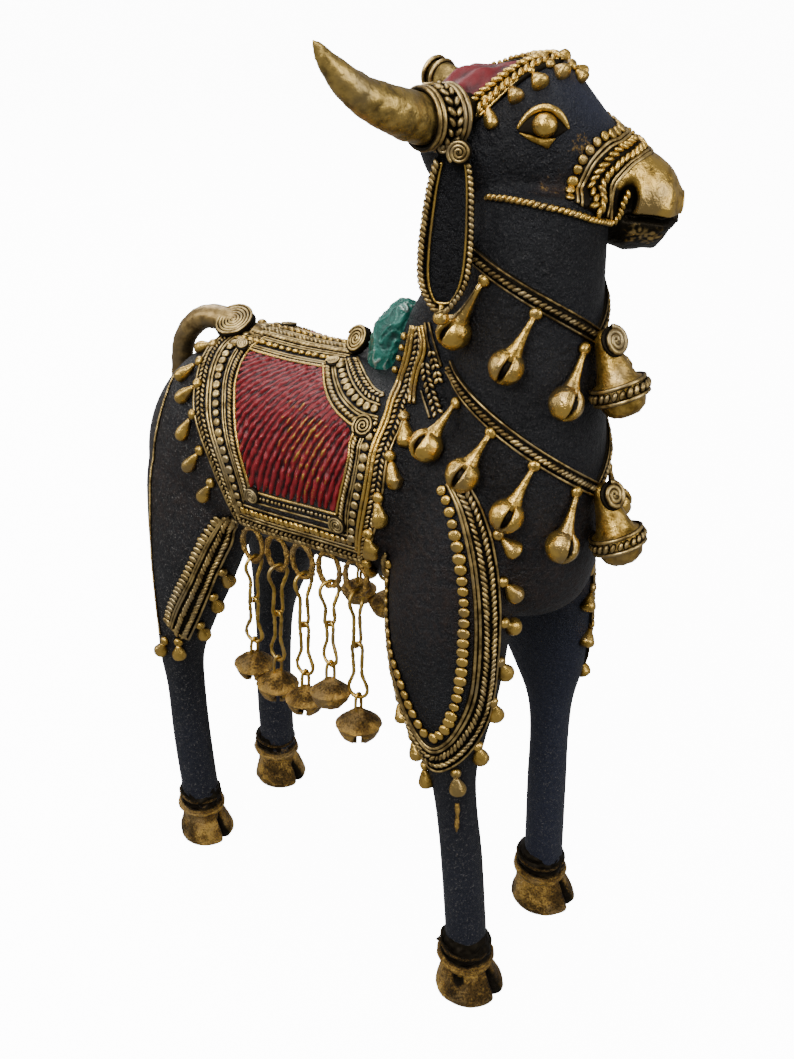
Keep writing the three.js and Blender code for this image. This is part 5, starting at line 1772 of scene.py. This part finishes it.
def nose_cap(along=80, around=260):
    def at(share, a):
        where = cap_start(a) + (52.3 - cap_start(a)) * share
        local = from_head([on_head(where, a)])[0]
        hand = (1, 1 if a > 0 else -1, 1)
        out = unit(np.array([max(where - 43, 0) * 0.11, local[1] / 12, (local[2] + 18) / 14]))
        from_mouth = local[2] - between(MOUTH_ROWS, local[0])[0]
        open_mouth = ramp(local[0], 34, 37) * (abs(a) > 50)
        slot = math.exp(-(from_mouth / 1.05) ** 4) * open_mouth
        lips = math.exp(-(from_mouth / 2.6) ** 2) * open_mouth
        away = (local - NOSTRIL * hand) / (2.7, 6, 4.9)
        nostril = math.exp(-(away @ away) ** 2)
        rim = math.exp(-((math.sqrt(away @ away) - 1.35) / 0.3) ** 2) * (local[0] > NOSTRIL[0])
        rise = (0.1 if share == 0 else 1.1) - 2.6 * slot - 1.0 * lips - 2.8 * nostril + 0.35 * rim
        rise -= 2.6 * ramp(-from_mouth, 3, 12) * ramp(local[0], 36, 43)
        rise -= 1.9 * ramp(-from_mouth, 1, 4) * ramp(local[0], 43, 51)
        rise += 0.22 * noise.noise(Vector(local) * 0.3)
        local = local + out * rise
        above = ramp(from_mouth, 0.3, 1.3)
        patch = max(math.exp(-((local - p * hand) ** 2).sum() / 11) for p in LIP_PATCHES)
        patch *= 0.75 + 1.6 * noise.noise(Vector(local) * 0.9)
        worn = 0.95 * above + 0.7 * max(patch, 0) * (1 - above)
        cheek = ramp(abs(a), 70, 80) * ramp(34.2 - local[0], 0, 1.5)
        crest = worn + 0.05 - 1.1 * slot - 1.4 * nostril - 0.15 * above - 0.7 * cheek
        return in_head(*local), min(max(crest, -0.3), 0.9)

    turns = np.linspace(-180, 180, around, endpoint=False)
    return outward(lofted(*grown(at, np.linspace(0, 1, along), turns)))


head.add(nose_cap(), BRIGHT)
print("nostril in the head's frame:", NOSTRIL.round(1))

# The bridle rope comes out of the nostril, turns at the corner of the mouth and runs back along the jaw.
BRIDLE = [(629, 191), (625, 198), (622, 205), (619, 214), (611, 221.5), (600, 221), (590, 219), (578, 214.5),
          (560, 209.5), (535, 204.5), (508, 200), (488, 197)]
for line, hand in zip(head_pair(BRIDLE), (1, -1)):
    lane = Lane(smooth_path(line, 90), 0.6, hand=hand, lift=0.7)
    head.add(rope(lane, 2.6, 1.75), BRIGHT)

# %% [markdown]
# ## Eyes
# A cast ball lies in a dark hollow. The upper lid is a tapered ridge that arches over it, and below
# the ball a flat three-cornered patch of gold stands for the lower lid.

# %% Eyes
EYE_BALL = (544.6, 125)
UPPER_LID = [(517, 129), (521, 123), (527.5, 115.5), (536, 109.8), (545, 108), (554, 110.5), (561.5, 117),
             (568.5, 129)]
LOWER_TOP = [(519.5, 132.5), (530, 135), (540, 137.3), (548, 138.1), (555, 138)]
LOWER_LOW = [(519.5, 133.2), (525, 137.5), (534, 142.5), (542, 146), (547.5, 148.5), (551.7, 143.5),
             (555.2, 138.8)]
LID_WIDE = [0.35, 0.75, 1.0, 1.15, 1.2, 1.2, 1.0, 0.4]

for k, hand in enumerate((1, -1)):
    place = head_pair([EYE_BALL])[k]
    (place,), (out,) = settled(place)
    across = unit(np.cross(out, (0, 0, 1)))
    head.add(one(FINE_BEAD, place + out * 0.2, across * 3.9, np.cross(out, across) * 3.65, out * 3.3), BRIGHT)
    lid = smooth_path(head_pair(UPPER_LID)[k], 60)
    head.add(tapered(Lane(lid, 0.6, hand=hand, lift=0.2), LID_WIDE), BRIGHT)
    under = smooth_path(head_pair(UPPER_LID[:1] + LOWER_TOP + UPPER_LID[-1:])[k], 60)
    head.add(dulled(bed([lid + (under - lid) * share for share in np.linspace(0, 1, 7)], 0.35, 0.4), 0), THREAD)
    top, low = (smooth_path(head_pair(line)[k], 40) for line in (LOWER_TOP, LOWER_LOW))
    patch = bed([top + (low - top) * share for share in (0, 0.3, 0.7, 1)], 0.75, 0.5)
    head.add(Form(patch.points, patch.quads, patch.tris, 0.55), BRIGHT)
print("head work:", len(head.forms), "forms")

# %% [markdown]
# ## Poll cap, horns and ears
# Between the horns lies a small cap painted crimson, in a few soft lobes. It could be a pad of its
# own, but it is a sheet over the crown whose edge dips into the skin, so that no gap shows.

# %% Poll cap
POLL_HALF, POLL_REAR = 58, -26.5
POLL_LOBES = [(-17, 30, 4, 11, 2.8), (-10, 12, 4, 9, 2.4), (-16, -6, 4.5, 9, 2.6), (-12, -28, 5, 12, 2.4)]


def poll_cap(across=90, along=54):
    """Each lobe of the cap is told by its place along the head and round it, its size and its height."""

    def at(degrees, share):
        a = POLL_REAR + (brow_at(degrees) - 4.6 - POLL_REAR) * share
        edge = abs(degrees) == POLL_HALF or share in (0, 1)
        lobe = sum(high * math.exp(-((a - at) / long) ** 2 - ((degrees - turn) / wide) ** 2)
                   for at, turn, long, wide, high in POLL_LOBES)
        rough = noise.noise((a * 0.35, degrees * 0.09, 1.0))
        place = on_head(a, degrees, -0.6 if edge else 0.8 + lobe + 0.35 * rough)
        # The crest rises on the lobes, so the red is painted darker between them: painted shade.
        return place, min(max(0.4 + 0.16 * lobe + 0.45 * rough, 0), 1)

    return sheet(*grown(at, np.linspace(-POLL_HALF, POLL_HALF, across), np.linspace(0, 1, along)))


poll = Piece()
cap = poll_cap()
poll.add(cap, POLL_RED)
poll.make("poll_cap", attributes={"rubbed_and_sheen": np.full(len(cap.points), 0.2)})
rear_edge = [on_head(POLL_REAR, a, 1.4) for a in np.linspace(-56, 56, 50)]
head.add(thread(Lane(rear_edge, loose=True), 0.8), BRIGHT)

# %% [markdown]
# The right horn sweeps back and up out of a banded collar, and the left one points away from the
# photograph's side. Each is a round body along a path of the head's own frame, thin at the tip.

# %% Horns
HORN_WIDE, LEFT_HORN_WIDE = 14.6, 7.2
HORN_PATHS = {
    1: [(-25.4, -22, 15), (-32, -31, 20.4), (-39.3, -38, 26.3), (-46.3, -43, 34.6), (-51, -46, 43)],
    -1: [(-25.4, 22, 14.6), (-26.7, 32, 12), (-27.4, 42, 9), (-28, 51, 6.5), (-28.5, 57, 5.5)],
}
COLLAR_RINGS = {1: (0.36, 0.47, 0.9, 1.0), -1: (0.8, 1.0)}
horns = Piece()
for side, wide in ((1, HORN_WIDE), (-1, LEFT_HORN_WIDE)):
    root = in_head(-13, -side * 10, 13)
    line = [in_head(*p) for p in HORN_PATHS[side]]
    path = smooth_path([root + (line[0] - root) * 0.6] + line, 110)
    t = np.linspace(0, 1, 110)
    taper = np.sqrt(np.maximum(1 - np.maximum((t - 0.12) / 0.88, 0) ** 1.9, 0)) * (1 - 0.35 * t**2)
    taper = np.maximum(taper * np.sqrt(np.clip((1.004 - t) / 0.03, 0, 1)), 0.02)
    horns.add(horn_of(path, wide / 2 * taper, 40, 0.3, side * 3.0, 0.82), HORN_BRASS)
    axis = unit(line[0] - root)
    reach = np.linalg.norm(line[0] - root)
    collar = [[0, 0], [wide / 2 - 1.4, 0], [wide / 2 - 1.2, reach * 0.26], [wide / 2 + 0.7, reach * 0.31],
              [wide / 2 + 1.0, reach * 0.8], [wide / 2 + 0.4, reach], [0, reach]]
    cross = unit(np.cross(axis, (0, 0, 1)))
    form = one(spun(collar, 36), root, cross, np.cross(axis, cross), axis)
    crest, finish = (0.12, THREAD) if side == 1 else (0.6, HORN_BRASS)
    horns.add(outward(dulled(form, crest)), finish)
    for share in COLLAR_RINGS[side]:
        horns.add(thread(hoop(root + axis * reach * share, axis, wide / 2 + 0.9), 0.8, 8), THREAD)
    if side == 1:
        horns.add(braid(hoop(root + axis * reach * 0.68, axis, wide / 2 + 1.0, 0.6), 6.0, 2.7, 1.3, 34), THREAD)
horns.make("horns")

# %% [markdown]
# The ears hang as long dark leaves with a twisted edge and two small spirals at the root. An ear is
# planned in its own place: how far down it, how far across and how far out.

# %% Ears
EAR_LONG = 50
EAR_ROWS = [[0, 3.4, 8], [0.14, 5.6, 6], [0.3, 6.8, 2.4], [0.6, 7.9, 2], [0.84, 7.2, 2], [1, 2.8, 1.6]]
ears = Piece()


def ear_facing(side):
    return unit(np.array([0.4, -side * 0.92, 0]))


def ear_point(side, t, across, out_by):
    top = in_head(-17, -side * 21.5, 6)
    out = ear_facing(side)
    along = np.array([-out[1] * side, out[0] * side, 0])
    half, _ = between(EAR_ROWS, t)
    return top + (-3.5 * t, side * 0.5, -EAR_LONG * t) + along * (across * (half + 0.6) + 0.9) + out * out_by


def ear_closing(t):
    return math.sqrt(max(1 - t**8, 0.02))


def ear_form(side):
    shares = np.concatenate([np.linspace(-1, 1, 25), np.linspace(0.86, -0.86, 15)])

    def at(t, k):
        _, deep = between(EAR_ROWS, t)
        face, share = k < 25, shares[k]
        bowl = 2.0 * abs(share) ** 2.4 - 0.7 if face else -deep * math.sqrt(1 - (share * 0.95) ** 2)
        return ear_point(side, t, share * ear_closing(t), bowl), 0.12 if face else 0.3

    return outward(lofted(*grown(at, np.linspace(0, 1, 70), range(len(shares)))))


def ear_lane(side, front, rear, low=0.06, high=0.98, up=1.5):
    """A lane down one edge of the ear and up the other: front and rear are shares of the half width."""
    down = np.linspace(low, high, 60)
    line = [ear_point(side, t, front * ear_closing(t), up) for t in down]
    line += [ear_point(side, t, -rear * ear_closing(t), up) for t in down][::-1]
    return free_lane(softened(evenly(line, 0.7), False, 4), ear_facing(side), hand=side)


for side in (1, -1):
    ears.add(ear_form(side), SKIN)
    edge = ear_lane(side, 0.9, 0.88)
    half = len(edge.points) // 2
    for part, wide in ((slice(None, half + 4), 2.2), (slice(half - 4, None), 3.0)):
        lane = free_lane(edge.points[part], edge.normals[part], hand=side)
        ears.add(rope(lane, wide, 1.75), THREAD)
    ears.add(thread(ear_lane(side, 0.7, 0.62, 0.07, 0.93, 0.6), 0.5), BRIGHT)
    out = unit(np.array([0.4, -side * 0.92, 0.1]))
    spiral(ears, ear_point(side, 0.0, 0.5, 2.8), out, 8.0, 3.2, 0.6, 0.6)
    spiral(ears, ear_point(side, -0.02, -0.75, 2.2), out, 4.8, 2, 0.5, 0.6)
    tab = ear_point(side, 0.97, 0, 0.8)
    ears.add(placed(TEAR, tab + (0, 0, 2.0), (0, 0, -1), out, 6.8, 5.2), BRIGHT)
blank = np.zeros(sum(len(form.points) for form, _ in ears.forms))
ears.make("ears", attributes={key: blank for key in ("brown", "gilt", "painted_blue_sheen", "dust_and_glints")})

head.make("head_work")
saddle.make("saddle_work")
limbs.make("leg_work")

# %% [markdown]
# ## The skin's wear and painted sheen
# The skin gets four maps as numbers on its points: where handling has browned it, where the brass
# shows through, where a blue sheen is painted into it, and where pale specks lie, partly sand dust
# and partly painted glints of light. They follow places on the bull.

# %% Wear and painted sheen of the skin


def blob(points, middle, size):
    """1 at a place, and less and less around it."""
    return np.exp(-(((points - middle) / size) ** 2).sum(1))


def wear_and_sheen_maps(points):
    x, y, z = points.T
    on_neck_now = np.clip((x - 35) / 25, 0, 1) * np.clip((z - 240) / 25, 0, 1)
    flank = np.exp(-((z - 190) / 45) ** 2) * (1 - on_neck_now)
    brown = 0.22 + 0.32 * flank - 0.25 * on_neck_now
    brown -= 0.5 * np.clip((110 - z) / 40, 0, 1)
    local = from_head(points)
    cheek = blob(local, (14, -16, -8), (14, 10, 9)) + blob(local, (26, -10, -2), (6, 10, 7))
    brown = brown + 0.8 * cheek
    gilt = 0.1 + 0.55 * np.exp(-((z - 12) / 12) ** 2) + 0.12 * np.exp(-((z - 75) / 25) ** 2)
    gilt = gilt + 0.45 * blob(local, (20, -14, 7), (4, 6, 3.5)) + 0.3 * cheek
    forehead = blob(local, (22, 0, 16), (14, 14, 12))
    left_leg = np.clip((y + 2) / 6, 0, 1) * np.clip((x - 30) / 10, 0, 1) * np.clip((200 - z) / 60, 0, 1)
    # Painted sheen: where the skin gets its blue tint, on the forehead, the left foreleg and low down.
    painted_blue_sheen = np.clip(1.3 * forehead + 0.9 * left_leg + 0.45 * np.clip((120 - z) / 60, 0, 1), 0, 1)
    # Pale specks, partly dust and partly painted glints of light: more towards the rump and low down.
    dust_and_glints = 0.22 + 0.7 * np.clip((20 - x) / 60, 0, 1) + 0.6 * np.clip((130 - z) / 60, 0, 1)
    return {"brown": brown, "gilt": gilt, "painted_blue_sheen": painted_blue_sheen, "dust_and_glints": np.clip(dust_and_glints, 0, 1)}


def sunk_under_cap(points):
    """The skin is drawn in under the nose cap, so that mouth and nostrils can be deep."""
    points = points.copy()
    local = from_head(points)
    for k in np.flatnonzero((local[:, 0] > 28) & (abs(local[:, 1]) < 19) & (local[:, 2] > -34)):
        a, y, c = local[k]
        top, bottom, wide = between(HEAD_ROWS, min(a, 52))
        middle = (top + bottom) / 2
        turn = math.degrees(math.atan2(abs(y) / wide, (c - middle) / ((top - bottom) / 2)))
        deep = 0.4 * ramp(a - cap_start(turn), 0.8, 3.5)
        points[k] = in_head(a - 6 * deep * ramp(a, 42, 50), y * (1 - deep), middle + (c - middle) * (1 - deep))
    return points


skin.points = sunk_under_cap(skin.points)
body = Piece()
body.add(skin, SKIN)
body_piece = body.make("bull_body", attributes=wear_and_sheen_maps(skin.points))
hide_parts("bull_casting")

# %% [markdown]
# ## Chains
# Ten chains hang from the loops under the cloth. A link is one wire bent to a large round end and a
# small one with a waist between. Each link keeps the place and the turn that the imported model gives
# it, nearly a quarter turn from its neighbour, so the wires clear each other as the solids do.

# %% Links
WIRE_WIDE, LINK_ROUND, LINK_NARROW, SHANK_HIGH = 1.3, 9.2, 5.6, 8.8
CROSS_TURN, CLEARANCE, BELL_SHARE = 75, 0.35, 0.76


def link_line(length, round_up):
    """The middle line of a link that hangs down from the origin."""
    reach = length - WIRE_WIDE
    big, small = (LINK_ROUND - WIRE_WIDE) / 2, (LINK_NARROW - WIRE_WIDE) / 2
    corners = [(big * math.cos(a), -big + big * math.sin(a)) for a in np.radians([90, 115, 140, 165, 190, 212])]
    corners += [(-small * 0.72, -big * 2.6), (-small * 0.82, (small - reach - big * 2.6) * 0.5)]
    corners += [(small * math.cos(a), small - reach + small * math.sin(a))
                for a in np.radians([180, 205, 230, 250, 270, 290, 310, 335, 360])]
    corners += [(small * 0.82, (small - reach - big * 2.6) * 0.5), (small * 0.72, -big * 2.6)]
    corners += [(big * math.cos(a), -big + big * math.sin(a)) for a in np.radians([-32, -10, 15, 40, 65])]
    line = evenly([(x, 0, z) for x, z in corners], 0.75, True)
    line = softened(line, True, 2)
    if not round_up:
        line[:, 2] = -reach - line[:, 2]
    return line


def hung(form, top, lean, turn):
    """The form turned about its own axis, swung to hang along lean and moved to its top point."""
    swing = Vector((0, 0, 1)).rotation_difference(Vector(-lean))
    turned = swing @ Quaternion((0, 0, 1), math.radians(turn))
    points = form.points @ np.array(turned.to_matrix()).T + top
    return Form(points, form.quads, form.tris, form.crest)


print("links, mm long:", [row[0] for row in CHAINS])

# %% [markdown]
# A bell is a hollow shell of two shallow cones that meet in a raised line. Its mouth is a slit with
# a round hole at each end. Those are true cuts, made once on a shell of unit width.

# %% One pellet bell
BELL_ROWS = [[0, -0.5], [0.42, -0.5], [0.72, -0.4], [0.9, -0.2], [0.97, -0.05], [1.03, 0.0], [0.97, 0.05],
             [0.8, 0.14], [0.54, 0.28], [0.3, 0.4], [0.13, 0.48], [0, 0.5]]
# How far each bell is turned, so that its holes look where they do on the photograph.
BELL_TURNS = [-62, -48, -62, 10, -54]


def bell_shell():
    """A shell of half width 1, cut with a slit and two holes, as points and faces."""
    outer = smooth_path([(r, 0, h * 2 * BELL_SHARE) for r, h in BELL_ROWS], 40)[:, [0, 2]]
    inner = outer[4:-4] * (0.86, 0.82)
    inner = np.vstack([[0, inner[0, 1]], inner, [0, inner[-1, 1]]])
    outer_form = spun([[max(r, 0), z] for r, z in outer], 48)
    inner_form = spun([[max(r, 0), z] for r, z in inner], 48)
    inner_form.quads, inner_form.tris = inner_form.quads[:, ::-1], inner_form.tris[:, ::-1]
    return joined([outer_form, inner_form])


def cut(form, cutters):
    """The form with the cutters taken out of it."""
    made = []
    for name, shape in (("shell", form), ("cutter", joined(cutters))):
        mesh = bpy.data.meshes.new(name)
        mesh.from_pydata([tuple(p) for p in shape.points], [],
                         [tuple(f) for f in shape.quads] + [tuple(f) for f in shape.tris])
        thing = bpy.data.objects.new(name, mesh)
        bpy.context.collection.objects.link(thing)
        made.append(thing)
    shell, cutter = made
    boolean = shell.modifiers.new("cut", "BOOLEAN")
    boolean.operation, boolean.solver, boolean.object = "DIFFERENCE", "EXACT", cutter
    triangulate = shell.modifiers.new("triangles", "TRIANGULATE")
    triangulate.min_vertices = 5
    result = shell.evaluated_get(bpy.context.evaluated_depsgraph_get()).to_mesh()
    points = np.array([v.co for v in result.vertices])
    faces = [tuple(p.vertices) for p in result.polygons]
    shell.to_mesh_clear()
    for thing in made:
        bpy.data.objects.remove(thing)
    return Form(points, [f for f in faces if len(f) == 4], [f for f in faces if len(f) == 3])


def prism(ring, low, high):
    """A bar along Z over a flat ring of points."""
    ring = np.column_stack([ring, np.zeros(len(ring))])
    return outward(lofted([ring + (0, 0, low), ring + (0, 0, high)]))


SLIT = [(-0.66, -0.085), (0.66, -0.085), (0.66, 0.085), (-0.66, 0.085)]
HOLE = 0.27 * np.stack(circle(20), -1)
bell_form = cut(bell_shell(), [prism(SLIT, -1.2, -0.2)])
bell_form = cut(bell_form, [prism(HOLE + (x, 0), -1.2, -0.06) for x in (0.72, -0.72)])
print("bell:", len(bell_form.points), "points")

# %% [markdown]
# Each chain is two links and a bell, hooked one below the other. The real ones swing freely and
# came to rest at odd angles, so every chain has its own length, lean and turn.

# %% Hanging the chains


def bell_of(width, seed):
    """A bell that hangs from the origin by its wire shank."""
    half, tall = width / 2, BELL_SHARE * width
    points = bell_form.points * half
    dents = [noise.noise(Vector(p) * 0.55 + Vector((seed, 0, 0))) * 0.28
             + noise.noise(Vector(p) * 2.2 + Vector((0, seed, 0))) * 0.12 for p in points]
    points = points + unit(points) * np.array(dents)[:, None]
    reach = np.linalg.norm(points / (half, half, tall / 2), axis=1)
    crest = np.clip(0.25 + 0.9 * (reach - 0.62) / 0.45, 0.05, 0.9)
    root = tall * 0.36
    small = (LINK_NARROW - WIRE_WIDE) / 2
    arch = []
    for a in np.linspace(0, math.pi, 26):
        climb = (SHANK_HIGH - WIRE_WIDE / 2) * math.sin(a) ** 0.8
        arch.append((0, math.cos(a) * small * (0.7 + 0.3 * math.sin(a)), root + climb))
    shank = horn_of(np.array(arch), np.full(26, WIRE_WIDE / 2), 10, 0.08, seed, 0.8)
    down = (0, 0, -root - SHANK_HIGH + WIRE_WIDE / 2)
    return (Form(points + down, bell_form.quads, bell_form.tris, crest),
            Form(shank.points + down, shank.quads, shank.tris, 0.8))


def hang_chain(i, side, word):
    length, swing_x, swing_out, turn, bell_width = CHAINS[i]
    lean = unit(np.array([swing_x, -side * swing_out, -(2 * length + SHANK_HIGH)]))
    step = length - WIRE_WIDE - (WIRE_WIDE + CLEARANCE)
    top = hang_point(i, side) - lean * ((OVAL_WIRE + WIRE_WIDE) / 2 + CLEARANCE)
    lower_turn = side * (turn - CROSS_TURN)
    for kind, round_up, angle in (("upper_link", True, side * turn), ("lower_link", False, lower_turn)):
        piece = Piece()
        wire = closed_wire(link_line(length, round_up), WIRE_WIDE / 2 + 0.08, 0.35)
        piece.add(hung(wire, top, lean, angle), WIRE)
        thing = piece.make(f"{word}_{kind}_{i + 1}_wire")
        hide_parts(f"{word}_{kind}_{i + 1}")
        top = top + lean * step
    piece = Piece()
    shell, shank = bell_of(bell_width, i * 3.0 + side)
    piece.add(hung(shell, top, lean, side * BELL_TURNS[i]), ROUGH)
    piece.add(hung(shank, top, lean, side * turn - 90), WIRE)
    thing = piece.make(f"{word}_bell_{i + 1}_cast")
    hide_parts(f"{word}_bell_{i + 1}")


for side, word in ((1, "right"), (-1, "left")):
    for i in range(len(CHAINS)):
        hang_chain(i, side, word)

# %% [markdown]
# ## Floor and light
# The photograph was taken on white with soft light from above and in front. Large area lights make
# the long soft highlights that tell brass from paint, and a pale floor closes the scene.

# %% Floor and light
FLOOR_GREY = (0.86, 0.86, 0.86)
pale, tree, shader = new_finish("pale_floor")
colour = mixed(tree, noise_node(tree, 3, 2), FLOOR_GREY, tuple(0.97 * c for c in FLOOR_GREY))
tree.links.new(colour, shader.inputs["Base Color"])
shader.inputs["Roughness"].default_value = 0.6
shader.inputs["Emission Color"].default_value = (1, 1, 1, 1)
shader.inputs["Emission Strength"].default_value = 12

# The floor is flat near the bull and rises all round, so that every view ends on it.
BOWL = [(0.0, 0.0), (2.6, 0.0)]
BOWL += [(2.6 + 1.6 * math.sin(a), 1.6 - 1.6 * math.cos(a)) for a in np.radians(range(6, 91, 6))]
turns = np.radians(np.arange(0, 360, 5))
points = [(r * math.cos(t), r * math.sin(t), h) for r, h in BOWL[1:] + [(4.2, 3.4)] for t in turns]
index = np.arange(len(points)).reshape(-1, len(turns))
faces = np.stack([index[:-1], np.roll(index[:-1], -1, 1), np.roll(index[1:], -1, 1), index[1:]], -1).reshape(-1, 4)
floor_mesh = bpy.data.meshes.new("floor")
floor_mesh.from_pydata(points, [], [tuple(range(len(turns)))] + [tuple(f) for f in faces.tolist()])
floor = bpy.data.objects.new("floor", floor_mesh)
bpy.context.collection.objects.link(floor)
floor.data.materials.append(pale)
floor.visible_glossy = floor.visible_diffuse = False
floor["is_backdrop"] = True

# Each lamp: its name, its place, its power and its size. All are aimed at the middle of the bull.
for name, where, power, size in (("key", (0.2, -1.2, 1.3), 26, 0.7), ("side", (1.4, 0.1, 0.8), 12, 0.9),
                                 ("rear", (-1.2, 0.7, 1.0), 12, 0.8), ("top", (-0.2, -0.1, 1.6), 14, 0.9),
                                 ("left", (-1.2, -0.8, 0.8), 9, 0.8)):
    lamp = bpy.data.lights.new(name, "AREA")
    lamp.energy, lamp.size = power, size
    thing = bpy.data.objects.new(name, lamp)
    thing.location = where
    thing.rotation_euler = (Vector((0, 0, 0.2)) - Vector(where)).to_track_quat("-Z", "Y").to_euler()
    bpy.context.collection.objects.link(thing)

world = bpy.data.worlds.new("studio")
bpy.context.scene.world = world
world.use_nodes = True
world.node_tree.nodes["Background"].inputs["Color"].default_value = (1, 1, 1, 1)
world.node_tree.nodes["Background"].inputs["Strength"].default_value = 0.3
print("lamps:", len(bpy.data.lights))

# %% [markdown]
# ## The visual box
# The size of the visual model's box is printed. The visual model has to stay inside the
# imported model's box.

# %% Sizes and finish
low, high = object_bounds()
print("visual box, mm:", [round((b - a) * 1000, 1) for a, b in zip(low, high)])
